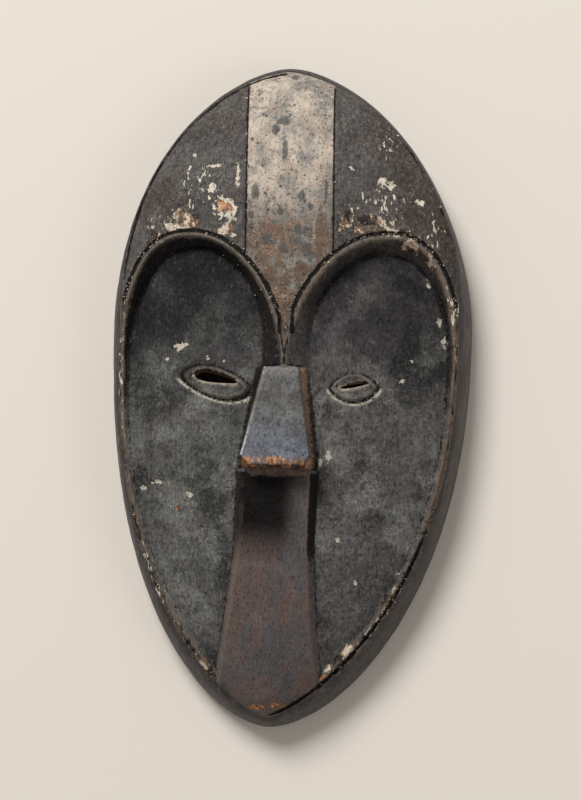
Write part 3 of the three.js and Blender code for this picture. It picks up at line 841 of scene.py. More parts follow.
def carved_curves():
    curves = [np.vstack([loop, loop[:1]]) for loop in (CREST, FLOOR_EDGE)]
    for by in (RIM_LINE_INSET - 0.5, RIM_LINE_INSET, RIM_LINE_INSET + 0.5):
        loop = bowed(FRONT.inset(by).loop())
        curves.append(np.vstack([loop, loop[:1]]))
    for brow in BROWS:
        bead = brow["bead"]
        for off in (bead / 2, bead, bead + LINE_WIDTH / 2, bead + LINE_WIDTH):
            curves.append(brow_path(brow, off, FADE_FROM))
    for place in (-BAND_LEFT, BAND_RIGHT):
        for off in (-LINE_WIDTH / 2, 0, LINE_WIDTH / 2):
            curves.append(band_path(place + off))
    nose_y = np.linspace(NOSE_ROOT, NOSE_SHOULDER, 60)
    nose_half = np.interp(nose_y, [NOSE_SHOULDER, NOSE_ROOT], [NOSE_TIP_HALF, NOSE_ROOT_HALF])
    nose_slope = np.interp(nose_y, [NOSE_SHOULDER, NOSE_ROOT], [TIP_SLOPE, ROOT_SLOPE])
    tip_y = np.linspace(NOSE_SHOULDER, NOSE_FOOT, 30)
    ridge_y = np.linspace(RIDGE_HEAD, along(-0.95), 120)
    for hand in (-1, 1):
        for share in (-0.25, 0, 0.5, 1):
            curves.append(beside(NOSE_X + hand * (nose_half + nose_slope * share), nose_y))
        for half in (NOSE_TIP_HALF - NOSE_CORNER, NOSE_TIP_HALF, NOSE_TIP_HALF + TIP_SLOPE):
            curves.append(beside(np.full(30, NOSE_X + hand * half), tip_y))
        for off in (0, RIDGE_SLOPE):
            curves.append(beside(RIDGE_X + hand * (ridge_half(ridge_y) + off), ridge_y))
    across_nose = np.linspace(-NOSE_TIP_HALF, NOSE_TIP_HALF, 60) + NOSE_X
    for y in (NOSE_TIP + 0.8, NOSE_TIP, NOSE_TIP - 0.8, NOSE_FOLD, NOSE_FOOT):
        curves.append(beside(across_nose, np.full(60, y)))
    curves.append(beside(across_nose * 0.7, np.full(60, NOSE_ROOT)))
    for eye in EYES:
        curves += [lid_loop(eye, share) for share in (1.0, 0.88, 0.76, 0.6)]
    return curves


def front_points(rim):
    """Plan points of the front: the rim, the eye slits, the carved lines, then the field."""
    field = Field()
    field.claim(rim, RIM_ROOM)
    slits = [slit_loop(eye) for eye in EYES]
    kept = [rim] + slits
    for loop in slits:
        field.claim(loop, SLIT_ROOM)

    def inside_rim(p):
        return FRONT.level(p[:, 0], p[:, 1]) < INSIDE_RIM

    for curve in carved_curves():
        path = resampled(curve, LINE_GRAIN)
        path = path[inside_rim(path)]
        path = path[field.free(path)]
        field.claim(path, LINE_ROOM)
        kept.append(path)
    field.claim(np.vstack(kept[1:]), FIELD_ROOM)
    grid = hexagonal(GRAIN)
    grid = grid[inside_rim(grid)]
    kept.append(grid[field.free(grid)])
    return np.vstack(kept), [len(loop) for loop in slits]


def back_points(inner):
    field = Field()
    field.claim(inner, BACK_ROOM)
    slits = [slit_loop(eye) for eye in EYES]
    for loop in slits:
        field.claim(loop, BACK_SLIT_ROOM)
    grid = hexagonal(BACK_GRAIN)
    grid = grid[field.free(grid)]
    grid = grid[inside_loop(grid, inner)]
    return np.vstack([inner] + slits + [grid]), [len(loop) for loop in slits]


def triangulated(points, rim_count, slit_counts):
    """Triangles over the plan points, with the slits left open."""
    edges = [(i, (i + 1) % rim_count) for i in range(rim_count)]
    start = rim_count
    loops = []
    for count in slit_counts:
        loop = list(range(start, start + count))
        loops.append(loop)
        edges += [(loop[i], loop[(i + 1) % count]) for i in range(count)]
        start += count
    flat = [Vector(p) for p in points.tolist()]
    out = delaunay_2d_cdt(flat, edges, [], 1, 1e-7)
    plan = np.array([tuple(v) for v in out[0]])
    faces = np.array(out[2])
    order = {source[0]: i for i, source in enumerate(out[3]) if source}
    middle = plan[faces].mean(axis=1)
    in_slit = inside_loop(middle, slit_loop(EYES[0])) | inside_loop(middle, slit_loop(EYES[1]))
    rim = np.array([order[i] for i in range(rim_count)])
    return plan, faces[~in_slit], rim, [np.array([order[i] for i in loop]) for loop in loops]


# Side wall from the front edge to the foot, as (towards the back, share of the rim height)
SIDE_PROFILE = [
    (0.12, 0.985),
    (0.26, 0.95),
    (0.42, 0.89),
    (0.58, 0.79),
    (0.74, 0.66),
    (0.87, 0.51),
    (0.96, 0.34),
    (1.0, 0.18),
    (1.0, 0.05),
]
FOOT_INSETS = (0.4, 3.0, 6.0, 9.0, FOOT_WIDTH - 0.3)
HOLLOW_WALL = (0.05, 0.3, 0.62, 0.86)


def ceiling(x, y):
    return np.maximum(dome(x, y) - RECESS_DEPTH - WALL, LEAST_CEILING)


def strip(first, second):
    """Triangles between two rings of the same count, facing outwards when the second ring is lower."""
    first_next, second_next = np.roll(first, -1), np.roll(second, -1)
    one = np.stack([first, second_next, first_next], 1)
    other = np.stack([first, second, second_next], 1)
    return np.vstack([one, other])


def mask_mesh():
    """Vertices, triangles, the front's masks, the region of each triangle and the count of front vertices."""
    back, front = BACK.loop(), FRONT.loop()
    rim = bowed(front)
    points, slit_counts = front_points(rim)
    plan, faces, edge, loops = triangulated(points, RIM_COUNT, slit_counts)
    z, masks = carve(plan)
    z[edge] = rim_height(plan[edge, 1]) - 0.15 * np.abs(rough(plan[edge, 0], plan[edge, 1], 4.0, 81))
    rings = []
    for lean, share in SIDE_PROFILE:
        p = bowed(mix(front, back, lean))
        inward = np.array([0, WIDEST_Y]) - p
        inward /= np.linalg.norm(inward, axis=1)[:, None]
        hewn = 0.35 * np.abs(rough(p[:, 1] + p[:, 0] * 0.5, share * 30 + p[:, 1] * 0.2, 9.0, 31))
        p = p + inward * (hewn * min(1, 3 * lean))[:, None]
        rings.append(("side", np.c_[p, rim_height(p[:, 1]) * share]))
    for by in FOOT_INSETS:
        rings.append(("back", np.c_[bowed(BACK.inset(by).loop()), np.zeros(RIM_COUNT)]))
    for share in HOLLOW_WALL:
        p = bowed(BACK.inset(FOOT_WIDTH + 0.4 * share).loop())
        rings.append(("back", np.c_[p, ceiling(p[:, 0], p[:, 1]) * share]))
    verts, all_faces, regions = [np.c_[plan, z]], [faces], [np.zeros(len(faces), int)]
    total, last = len(plan), edge
    for name, ring in rings:
        ids = np.arange(total, total + RIM_COUNT)
        verts.append(ring)
        all_faces.append(strip(last, ids))
        regions.append(np.full(2 * RIM_COUNT, 1 if name == "side" else 2))
        total, last = total + RIM_COUNT, ids

    # The hollow's ceiling meets the same slits
    points, slit_counts = back_points(bowed(BACK.inset(FOOT_WIDTH + 0.8).loop()))
    inner, inner_faces, inner_rim, inner_loops = triangulated(points, RIM_COUNT, slit_counts)
    gouged = 0.5 * rough(inner[:, 0] * 1.5, inner[:, 1] * 0.6, 9.0, 51)
    verts.append(np.c_[inner, np.maximum(ceiling(inner[:, 0], inner[:, 1]) + gouged, 1.0)])
    back_parts = [inner_faces[:, ::-1] + total, strip(last, inner_rim + total)]
    for loop, inner_loop in zip(loops, inner_loops):
        back_parts.append(strip(loop, inner_loop + total)[:, ::-1])
    for part in back_parts:
        all_faces.append(part)
        regions.append(np.full(len(part), 2))
    return np.vstack(verts), np.vstack(all_faces), masks, np.concatenate(regions), len(plan)


SHARP_BEND = 0.16


def bending(verts, faces, normals, rounds):
    """Positive along worn edges, negative in corners, averaged over a few rounds of neighbours."""
    pairs = np.vstack([faces[:, [0, 1]], faces[:, [1, 2]], faces[:, [2, 0]]])
    count = np.maximum(np.bincount(pairs[:, 0], minlength=len(verts)), 1)

    def around(values):
        return np.bincount(pairs[:, 0], weights=values[pairs[:, 1]], minlength=len(verts)) / count

    middle = np.stack([around(verts[:, i]) for i in range(3)], 1)
    bend = ((verts - middle) * normals).sum(1)
    for _ in range(rounds):
        bend = (bend + around(bend)) / 2
    return bend


def build_mask(materials):
    verts, faces, masks, regions, front_count = mask_mesh()
    verts = np.clip(verts, LOW + 0.01, HIGH - 0.01)
    mesh = bpy.data.meshes.new("mask_wood")
    mesh.from_pydata((verts * MM).tolist(), [], faces.tolist())
    for material in materials:
        mesh.materials.append(material)
    mesh.polygons.foreach_set("material_index", regions)
    mesh.polygons.foreach_set("use_smooth", np.ones(len(faces), bool))
    mesh.update()
    normals = np.empty(len(verts) * 3, np.float32)
    mesh.vertices.foreach_get("normal", normals)
    bend = bending(verts, faces, normals.reshape(-1, 3), 2)
    masks["edge"] = np.clip(bend / SHARP_BEND, 0, 1)
    # Concave places, which get painted shade.
    masks["corner"] = np.clip(-bend / SHARP_BEND, 0, 1)
    for name, values in masks.items():
        full = np.zeros(len(verts), np.float32)
        full[: len(values)] = values
        mesh.attributes.new(name, "FLOAT", "POINT").data.foreach_set("value", full)
    print("mask triangles", len(faces), "front vertices", front_count)
    return placed_object("carved_mask", mesh)


# Finishes


def tone(red, green, blue):
    """A colour as it shows on screen, made linear."""
    channels = [c / 255 for c in (red, green, blue)]
    return tuple(c / 12.92 if c <= 0.04045 else ((c + 0.055) / 1.055) ** 2.4 for c in channels) + (1.0,)


class Tree:
    """Short ways to place nodes in a material or a node group."""

    def __init__(self, tree):
        self.tree = tree

    def put(self, value, socket):
        """Feeds a socket from another one, or with a plain value."""
        if isinstance(value, bpy.types.NodeSocket):
            self.tree.links.new(value, socket)
        else:
            socket.default_value = value

    def node(self, kind, inputs=None, **settings):
        made = self.tree.nodes.new(kind)
        for name, value in settings.items():
            setattr(made, name, value)
        for key, value in (inputs or {}).items():
            self.put(value, made.inputs[key])
        return made

    def math(self, operation, first, second=0.0):
        return self.node("ShaderNodeMath", {0: first, 1: second}, operation=operation).outputs[0]

    def times(self, first, second):
        return self.math("MULTIPLY", first, second)

    def most(self, first, second):
        return self.math("MAXIMUM", first, second)

    def total(self, *parts):
        """The sum of values, each times its weight."""
        weighted = [self.times(value, weight) for value, weight in parts]
        found = weighted[0]
        for part in weighted[1:]:
            found = self.math("ADD", found, part)
        return found

    def without(self, value, taken):
        """The value where nothing is taken, 0 where all is."""
        return self.times(value, self.math("SUBTRACT", 1.0, taken))

    def blend(self, factor, first, second):
        made = self.node("ShaderNodeMix", data_type="RGBA")
        self.put(factor, made.inputs[0])
        self.put(first, made.inputs[6])
        self.put(second, made.inputs[7])
        return made.outputs[2]

    def between(self, value, low, high, out_low=0.0, out_high=1.0):
        """The value taken smoothly from a low and a high limit to new ones."""
        limits = {"From Min": low, "From Max": high, "To Min": out_low, "To Max": out_high}
        made = self.node("ShaderNodeMapRange", {"Value": value, **limits}, interpolation_type="SMOOTHSTEP")
        return made.outputs[0]

    def stretched(self, vector, amounts):
        return self.node("ShaderNodeVectorMath", {0: vector, 1: amounts}, operation="MULTIPLY").outputs[0]

    def moved(self, vector, by):
        return self.node("ShaderNodeVectorMath", {0: vector, 1: by}, operation="ADD").outputs[0]

    def clouds(self, vector, size, detail=3.0, roughness=0.55, distortion=0.0):
        """Noise around 0.5 with patches of about one size, in the vector's own unit."""
        scale = self.math("DIVIDE", 1.0, size)
        values = {"Vector": vector, "Scale": scale, "Detail": detail, "Roughness": roughness}
        return self.node("ShaderNodeTexNoise", {**values, "Distortion": distortion}).outputs[0]

    def axis(self, vector, name):
        return self.node("ShaderNodeSeparateXYZ", {0: vector}).outputs[name]

    def attribute(self, name):
        return self.node("ShaderNodeAttribute", attribute_name=name).outputs["Fac"]

    def use(self, group, **values):
        made = self.node("ShaderNodeGroup", node_tree=group)
        for name, value in values.items():
            self.put(value, made.inputs[name.capitalize()])
        return made.outputs


def effect(name, inputs, outputs):
    """A shader group with named inputs, each with its starting value, and named outputs."""
    group = bpy.data.node_groups.new(name, "ShaderNodeTree")
    for socket_name, value in inputs.items():
        kind = "NodeSocketVector" if isinstance(value, tuple) else "NodeSocketFloat"
        socket = group.interface.new_socket(name=socket_name, in_out="INPUT", socket_type=kind)
        socket.default_value = value
    for socket_name in outputs:
        group.interface.new_socket(name=socket_name, in_out="OUTPUT", socket_type="NodeSocketFloat")
    tree = Tree(group)
    return group, tree, tree.node("NodeGroupInput").outputs, tree.node("NodeGroupOutput").inputs


def wood_grain():
    """Fine lines along the mask, with open pores."""
    start = {"Place": (0.0, 0.0, 0.0), "Width": 0.5}
    group, tree, given, out = effect("wood_grain", start, ["Lines", "Pores"])
    along_wood = tree.stretched(given["Place"], (1.0, 0.06, 0.5))
    tree.put(tree.clouds(along_wood, given["Width"], 4.0, 0.6, 0.4), out["Lines"])
    short = tree.stretched(given["Place"], (1.0, 0.22, 0.6))
    pores = tree.clouds(short, tree.times(given["Width"], 0.8), 2.0, 0.5)
    tree.put(tree.between(pores, 0.62, 0.7), out["Pores"])
    return group


def ragged_edge():
    """Turns a soft mask into one with a crisp, broken outline."""
    start = {"Place": (0.0, 0.0, 0.0), "Mask": 0.0, "Size": 1.4, "Broken": 0.8, "Soft": 0.1}
    group, tree, given, out = effect("ragged_edge", start, ["Mask"])
    torn = tree.math("SUBTRACT", tree.clouds(given["Place"], given["Size"], 4.0, 0.6), 0.5)
    shifted = tree.math("ADD", given["Mask"], tree.times(torn, tree.times(given["Broken"], 2.0)))
    low = tree.math("SUBTRACT", 0.5, given["Soft"])
    high = tree.math("ADD", 0.5, given["Soft"])
    inside = tree.between(given["Mask"], 0.0, 0.2)
    tree.put(tree.times(tree.between(shifted, low, high), inside), out["Mask"])
    return group


def loose_flakes():
    """Small crisp spots, more of them where the amount is higher."""
    start = {"Place": (0.0, 0.0, 0.0), "Amount": 0.3, "Size": 1.2, "Length": 1.0}
    group, tree, given, out = effect("loose_flakes", start, ["Mask"])
    shorten = tree.math("DIVIDE", 1.0, given["Length"])
    stretch = tree.node("ShaderNodeCombineXYZ", {"X": 1.0, "Y": shorten, "Z": 1.0}).outputs[0]
    place = tree.stretched(given["Place"], stretch)
    spots = tree.clouds(place, given["Size"], 3.0, 0.5, 0.3)
    level = tree.between(given["Amount"], 0.0, 1.0, 0.82, 0.5)
    tree.put(tree.between(tree.math("SUBTRACT", spots, level), 0.0, 0.025), out["Mask"])
    return group


def mottled_patina():
    """Crisp stains: dark clouds, pale rubbed patches, tiny specks and pale nicks along the grain."""
    start = {"Place": (0.0, 0.0, 0.0), "Size": 10.0}
    group, tree, given, out = effect("mottled_patina", start, ["Dark", "Pale", "Specks", "Nicks"])
    place, size = given["Place"], given["Size"]
    tall = tree.stretched(place, (1.0, 0.6, 1.0))
    broad = tree.between(tree.clouds(tall, size, 6.0, 0.68), 0.47, 0.58)
    middle = tree.between(tree.clouds(tall, tree.times(size, 0.28), 5.0, 0.66), 0.49, 0.6)
    stains = tree.math("ADD", tree.times(broad, 0.6), tree.times(middle, 0.5))
    tree.put(tree.math("MINIMUM", stains, 1.0), out["Dark"])
    apart = tree.moved(place, (70.0, 30.0, 10.0))
    rubbed = tree.between(tree.clouds(apart, size, 4.0, 0.62), 0.45, 0.6)
    fine = tree.between(tree.clouds(apart, tree.times(size, 0.16), 4.0, 0.7), 0.48, 0.6)
    tree.put(tree.times(rubbed, fine), out["Pale"])
    tree.put(tree.between(tree.clouds(place, 1.1, 2.0, 0.5), 0.6, 0.68), out["Specks"])
    thin = tree.stretched(apart, (1.0, 0.4, 1.0))
    tree.put(tree.between(tree.clouds(thin, 1.3, 2.0, 0.5), 0.66, 0.7), out["Nicks"])
    return group


def worn_edge():
    """Where handling has rubbed the colour off along edges."""
    start = {"Place": (0.0, 0.0, 0.0), "Edge": 0.0, "Amount": 0.5}
    group, tree, given, out = effect("worn_edge", start, ["Mask"])
    patchy = tree.between(tree.clouds(given["Place"], 6.0, 4.0, 0.65), 0.32, 0.68)
    fine = tree.clouds(given["Place"], 0.9, 3.0, 0.6)
    rubbed = tree.times(tree.times(given["Edge"], given["Amount"]), tree.math("ADD", patchy, 0.25))
    tree.put(tree.between(tree.times(rubbed, tree.math("ADD", fine, 0.5)), 0.25, 0.6), out["Mask"])
    return group


class Finish(Tree):
    """A material in the making, with the effects that the finishes share."""

    def __init__(self, name, groups, patina_size, grain_width=None, patina_stretch=None):
        self.material = bpy.data.materials.new(name)
        self.material.use_nodes = True
        super().__init__(self.material.node_tree)
        self.groups = groups
        place = self.node("ShaderNodeTexCoord").outputs["Object"]
        in_mm = self.node("ShaderNodeVectorMath", {0: place, "Scale": 1 / MM}, operation="SCALE")
        self.place = in_mm.outputs[0]
        stained = self.stretched(self.place, patina_stretch) if patina_stretch else self.place
        self.patina = self.shared("patina", Place=stained, Size=patina_size)
        if grain_width:
            self.grain = self.shared("grain", Width=grain_width)

    def shared(self, name, **values):
        """A shared effect, at this surface's places unless others are given."""
        return self.use(self.groups[name], **{"Place": self.place, **values})

    def torn(self, mask, size, broken, soft):
        return self.shared("ragged", Mask=mask, Size=size, Broken=broken, Soft=soft)["Mask"]

    def patches(self, size, low, high, detail=4.0, roughness=0.6, shift=None, stretch=None):
        """Patches of about one size: 0 where the noise is below the low limit, 1 above the high one."""
        place = self.moved(self.place, shift) if shift else self.place
        place = self.stretched(place, stretch) if stretch else place
        return self.between(self.clouds(place, size, detail, roughness), low, high)

    def layered(self, colour, coats):
        """The colour with coats laid over it in order, each a paint, its mask and how strong it is."""
        for paint, mask, strength in coats:
            colour = self.blend(self.times(mask, strength), colour, paint)
        return colour

    def coat(self, colour, roughness, relief, depth, gloss):
        """Feeds the finish into its surface; the depth of its relief is in millimetres."""
        surface = self.tree.nodes["Principled BSDF"]
        self.put(colour, surface.inputs["Base Color"])
        self.put(roughness, surface.inputs["Roughness"])
        bump_node = self.node("ShaderNodeBump", {"Height": relief, "Distance": depth * MM, "Strength": 1.0})
        self.put(bump_node.outputs[0], surface.inputs["Normal"])
        surface.inputs["Specular IOR Level"].default_value = gloss
        return self.material


# Colours of the old finish, and of the painted shade and highlights
SLATE = tone(97, 93, 90)
SLATE_DARK = tone(50, 47, 46)
SLATE_PALE = tone(146, 142, 135)
UMBER = tone(80, 66, 57)
LOBE_BLACK = tone(22, 23, 25)
CHEEK_GREY = tone(98, 98, 95)
DUST_GREY = tone(146, 146, 139)
# Near-black painted shade for the recess walls and the base of the nose's sides.
SHADE_BLACK = tone(30, 27, 26)
BEAD_GREY = tone(112, 102, 93)
LIP_BROWN = tone(104, 92, 82)
CLAY = tone(210, 195, 178)
CLAY_DIRTY = tone(104, 88, 76)
CLAY_PINK = tone(132, 106, 90)
CLAY_GREY = tone(130, 129, 124)
CLAY_BLOT = tone(82, 84, 84)
CREAM = tone(236, 226, 206)
BARE_ORANGE = tone(196, 138, 94)
BARE_BROWN = tone(124, 98, 78)
PLUM = tone(108, 91, 86)
PLUM_BLUE = tone(93, 89, 90)
NOSE_GREY = tone(102, 102, 101)
NOSE_BLUE = tone(108, 114, 124)
# Near-black for real soot, pores and specks, and also for painted shade and painted shadow.
SOOT_AND_SHADE = tone(13, 11, 10)
LOBE_VIOLET = tone(84, 78, 78)
CLAY_DOT = tone(58, 52, 48)
NOSE_BROWN = tone(142, 116, 98)
NOSE_BROWN_DARK = tone(72, 60, 53)
NOSE_LIP = tone(118, 100, 90)
NOSE_LIP_DARK = tone(80, 69, 63)
# White painted highlight for the nose's left edge.
HIGHLIGHT_WHITE = tone(212, 214, 212)
# Pale grey painted highlight for the ridge's left bevel.
BEVEL_HIGHLIGHT = tone(118, 108, 96)
RIDGE_EDGE = tone(124, 104, 92)
LID_CREAM = tone(216, 204, 186)
TORN_DARK = tone(48, 40, 36)
TORN_BROWN = tone(112, 90, 74)
TORN_TAN = tone(150, 112, 84)
TORN_CREAM = tone(222, 206, 184)
WORN_GREY = tone(122, 108, 94)
WOOD_LINE = tone(96, 72, 54)
CRUMB_PALE = tone(208, 194, 172)
CRUMB_DARK = tone(58, 50, 45)
SIDE_GREY = tone(54, 51, 51)
SIDE_PALE = tone(70, 65, 65)
SIDE_DARK = tone(42, 39, 39)
SIDE_SCUFF = tone(124, 114, 106)
BACK_BROWN = tone(70, 50, 36)
BACK_PALE = tone(112, 82, 58)
BACK_DARK = tone(48, 36, 28)

# What the carving tells the finishes about each place
MASKS = """
    recess wall gap band bead line lip splintered broken flecks ridge ridge_left ridge_right
    ridge_foot under_nose nose nose_front nose_right nose_lip nose_tip nose_edge lid
    lid_line rim_line chip bare blotch edge corner
""".split()


def mottling(face, pale_share):
    """Fine mottling of the old paint, pale over dark."""
    rubbed = face.patches(1.5, 0.48, 0.64, 5.0, 0.75, shift=(9.0, 3.0, 60.0))
    grime = face.patches(1.9, 0.5, 0.62, 5.0, 0.75, shift=(60.0, 3.0, 9.0))
    return [(SLATE_PALE, rubbed, pale_share), (LOBE_BLACK, grime, 0.42)]


def forehead_colour(face):
    """Slate with umber clouds, more umber to the right, and fine dark brush lines down it."""
    umber = face.patches(30.0, 0.47, 0.6, 5.0, 0.62)
    shade = face.patches(24.0, 0.4, 0.62, shift=(20.0, 9.0, 0.0))
    coats = [
        (UMBER, umber, 0.6),
        (UMBER, face.between(face.across, 22.0, 56.0), 0.7),
        (SLATE_DARK, shade, 0.35),
        (SLATE_DARK, face.patina["Dark"], 0.4),
        (SLATE_PALE, face.patina["Pale"], 0.35),
        *mottling(face, 0.3),
        (SLATE_DARK, face.fibre, 0.35),
    ]
    return face.layered(SLATE, coats)


def sunken_colour(face):
    """Blue-black paint in the lobes, darkest under the brows partly as painted shade, dusty grey down the
    cheeks, with crisp dust in loose patches.
    """
    # Darkest at the top of the lobes, partly blue-black paint and partly painted shade under the brows,
    # lighter grey lower down.
    cheek = face.between(face.up, 38.0, -26.0)
    rightwards = face.between(face.across, -20.0, 20.0)
    violet = face.patches(34.0, 0.48, 0.6, shift=(0.0, 50.0, 0.0))
    dark_zone = face.patches(24.0, 0.47, 0.6, 6.0, 0.66, shift=(31.0, 0.0, 0.0))
    dust_zone = face.patches(17.0, 0.46, 0.6, 5.0, 0.64, shift=(0.0, 0.0, 47.0))
    dust = face.times(dust_zone, face.between(face.small["Pale"], 0.0, 0.7, 0.35, 1.0))
    coats = [
        (CHEEK_GREY, cheek, 1.0),
        (LOBE_VIOLET, rightwards, 0.3),
        (PLUM_BLUE, violet, face.math("ADD", 0.3, face.times(rightwards, 0.5))),
        (LOBE_BLACK, dark_zone, 0.66),
        (LOBE_BLACK, face.patina["Dark"], 0.4),
        (DUST_GREY, dust, face.between(cheek, 0.0, 0.7, 0.22, 0.85)),
        *mottling(face, face.between(cheek, 0.0, 1.0, 0.07, 0.32)),
        (LOBE_BLACK, face.fibre, 0.22),
    ]
    return face.layered(LOBE_BLACK, coats)


def ridge_colour(face):
    """Plum and blue streaks down the ridge, with a painted shadow of the nose on it below the nose."""
    cool = face.patches(9.0, 0.44, 0.6, 4.0, 0.55, stretch=(1.0, 0.2, 1.0))
    coats = [
        (PLUM_BLUE, cool, 1.0),
        (SLATE_DARK, face.patina["Dark"], 0.22),
        (SLATE_PALE, face.small["Pale"], 0.2),
        (SLATE_DARK, face.fibre, 0.25),
        # Painted shadow of the nose, laid in near-black.
        (SOOT_AND_SHADE, face.mask["under_nose"], 1.0),
    ]
    return face.layered(PLUM, coats)


def nose_colour(face):
    """Grey front turning blue towards the tip, a brown right side, a dark lip under the tip and a painted
    highlight along the upper left edge.
    """
    mask, dark = face.mask, face.small["Dark"]
    cloud = face.patches(9.0, 0.46, 0.6, 5.0)
    fine = face.patches(2.2, 0.48, 0.62, roughness=0.66, stretch=(1.0, 0.4, 1.0))
    coats = [
        (NOSE_BLUE, face.between(face.up, -8.0, -30.0), 1.0),
        (SLATE_DARK, cloud, 0.4),
        (SLATE_DARK, fine, 0.4),
        (SLATE_PALE, face.patina["Pale"], 0.35),
        (SLATE_PALE, face.between(face.up, 3.0, 8.0), 0.6),
    ]
    front = face.layered(NOSE_GREY, coats)
    # Painted highlight, broken into patches, along the nose's upper left edge.
    edge_highlight = face.times(mask["nose_edge"], face.patches(7.0, 0.36, 0.5, roughness=0.65))
    coats = [
        (SOOT_AND_SHADE, dark, 0.5),
        (face.blend(dark, NOSE_BROWN, NOSE_BROWN_DARK), mask["nose_right"], 1.0),
        (front, mask["nose_front"], 1.0),
        (face.blend(dark, NOSE_LIP, NOSE_LIP_DARK), mask["nose_lip"], 1.0),
        (HIGHLIGHT_WHITE, edge_highlight, mask["nose_front"]),
    ]
    # The nose's sides start from the same painted-shade black.
    return face.layered(SHADE_BLACK, coats)


def band_colour(face):
    """Clay rubbed on by hand: brush streaks down the band, cloudy stains, pinker and dirtier to its foot."""
    dirty = face.between(face.up, 96.0, 56.0)
    cloud = face.patches(9.0, 0.42, 0.62, 6.0, 0.62, stretch=(1.0, 0.3, 1.0))
    streak = face.patches(1.5, 0.4, 0.66, roughness=0.65, stretch=(1.0, 0.12, 1.0))
    side_dirt = face.between(face.mask["band"], 1.0, 0.3, 0.0, 0.5)
    dirt = face.total((cloud, 0.55), (streak, 0.24), (dirty, 0.85), (side_dirt, 1.0))
    pink = face.patches(11.0, 0.48, 0.6, 5.0, 0.62, shift=(11.0, 60.0, 0.0))
    grey = face.patches(9.0, 0.5, 0.62, 6.0, 0.68, shift=(70.0, 5.0, 0.0))
    low_blots = face.patches(6.0, 0.56, 0.64, 5.0, 0.66, shift=(5.0, 90.0, 0.0))
    dots = face.patches(2.6, 0.62, 0.66, shift=(3.0, 7.0, 5.0))
    coats = [
        (face.blend(dirty, CLAY_GREY, CLAY_DIRTY), face.math("MINIMUM", dirt, 1.0), 1.0),
        (CLAY_PINK, pink, face.between(dirty, 0.0, 1.0, 0.3, 0.6)),
        (CLAY_GREY, grey, 0.8),
        (CLAY, face.small["Pale"], 0.3),
        (CLAY_BLOT, face.torn(face.mask["blotch"], 2.4, 0.7, 0.2), 0.8),
        (CLAY_BLOT, low_blots, face.between(dirty, 0.0, 1.0, 0.25, 0.8)),
        (CLAY_DOT, dots, 0.8),
        (CLAY_BLOT, face.patina["Specks"], 0.3),
    ]
    return face.layered(CLAY, coats)


def broken_colour(face, bits):
    """Dark, brown and cream bits side by side, where the brows and the rim have broken."""
    coats = [
        (TORN_BROWN, face.between(bits, 0.44, 0.5), 1.0),
        (TORN_TAN, face.between(bits, 0.5, 0.52), 1.0),
        (TORN_CREAM, face.between(bits, 0.53, 0.56), 1.0),
    ]
    return face.layered(TORN_DARK, coats)


class PaintedFace(Finish):
    """The finish of the face, with the masks that the carving left for it."""

    def __init__(self, groups):
        super().__init__("painted_face", groups, 12.0, 0.6)
        self.across, self.up = [self.axis(self.place, name) for name in "XY"]
        self.small = self.shared("patina", Place=self.moved(self.place, (0.0, 0.0, 90.0)), Size=5.0)
        self.fibre = self.between(self.grain["Lines"], 0.42, 0.6)
        self.mask = {name: self.attribute(name) for name in MASKS}
        self.band = self.torn(self.mask["band"], 3.0, 0.3, 0.18)
        self.plain = self.without(1.0, self.band)

    def painted(self):
        """Everything that was painted or smoked on, with painted shade on the walls and under the nose and a
        painted highlight on the ridge's left bevel.
        """
        mask, small = self.mask, self.small
        bevel = self.between(small["Dark"], 0.0, 1.0, 0.8, 0.3)
        bead = self.layered(BEAD_GREY, [(SLATE_DARK, small["Dark"], 1.0), (SLATE_PALE, small["Pale"], 0.9)])
        lid = self.times(mask["lid"], self.patches(2.0, 0.32, 0.5, roughness=0.65))
        coats = [
            (sunken_colour(self), mask["recess"], 1.0),
            # Painted shade on the recess walls.
            (SHADE_BLACK, mask["wall"], 0.9),
            (self.blend(small["Dark"], LIP_BROWN, SLATE_DARK), mask["lip"], 0.8),
            (ridge_colour(self), mask["ridge"], 1.0),
            # Painted highlight on the ridge's left bevel.
            (BEVEL_HIGHLIGHT, mask["ridge_left"], bevel),
            (RIDGE_EDGE, mask["ridge_right"], 0.55),
            (nose_colour(self), mask["nose"], 1.0),
            (band_colour(self), self.band, 1.0),
            (bead, mask["bead"], 0.85),
            (LID_CREAM, lid, 0.95),
            (SOOT_AND_SHADE, self.patina["Specks"], self.between(mask["ridge"], 0.0, 1.0, 0.3, 0.12)),
        ]
        return self.layered(forehead_colour(self), coats)

    def lost_paint(self):
        """Where the dark paint has gone: the listed marks, and loose flakes."""
        mask = self.mask
        amount = self.total((0.12, 1.0), (mask["flecks"], 0.58), (mask["lip"], 0.3))
        amount = self.without(amount, self.most(self.times(mask["recess"], 0.8), mask["ridge"]))
        flakes = self.shared("flakes", Amount=amount, Size=1.4, Length=2.6)["Mask"]
        return self.most(self.torn(mask["chip"], 1.7, 1.5, 0.05), self.times(flakes, self.plain))

    def nicks(self):
        found = self.times(self.patina["Nicks"], 0.35)
        found = self.without(found, self.most(self.band, self.mask["ridge"]))
        return self.without(found, self.times(self.mask["recess"], 0.6))

    def rubbed_edges(self):
        found = self.shared("worn", Edge=self.mask["edge"], Amount=0.9)["Mask"]
        return self.without(found, self.times(self.most(self.mask["ridge"], self.mask["nose"]), 0.75))

    def bare_wood(self):
        """Bare spots, and the tip of the nose where touching has rubbed it to the wood."""
        rubbed_tip = self.times(self.mask["nose_tip"], self.patches(3.2, 0.38, 0.58, 5.0, 0.7))
        return self.most(self.torn(self.mask["bare"], 2.6, 1.0, 0.12), self.between(rubbed_tip, 0.2, 0.6))

    def dirt(self):
        """Soot in the cut lines, and painted shade in corners, in the gap at the foot of the wall, above the
        eye slits and down the ridge's side faces.
        """
        found = self.times(self.mask["corner"], 0.6)
        for name in ("line", "gap", "rim_line", "lid_line", "ridge_foot"):
            found = self.most(found, self.mask[name])
        return self.torn(found, 1.8, 0.5, 0.2)


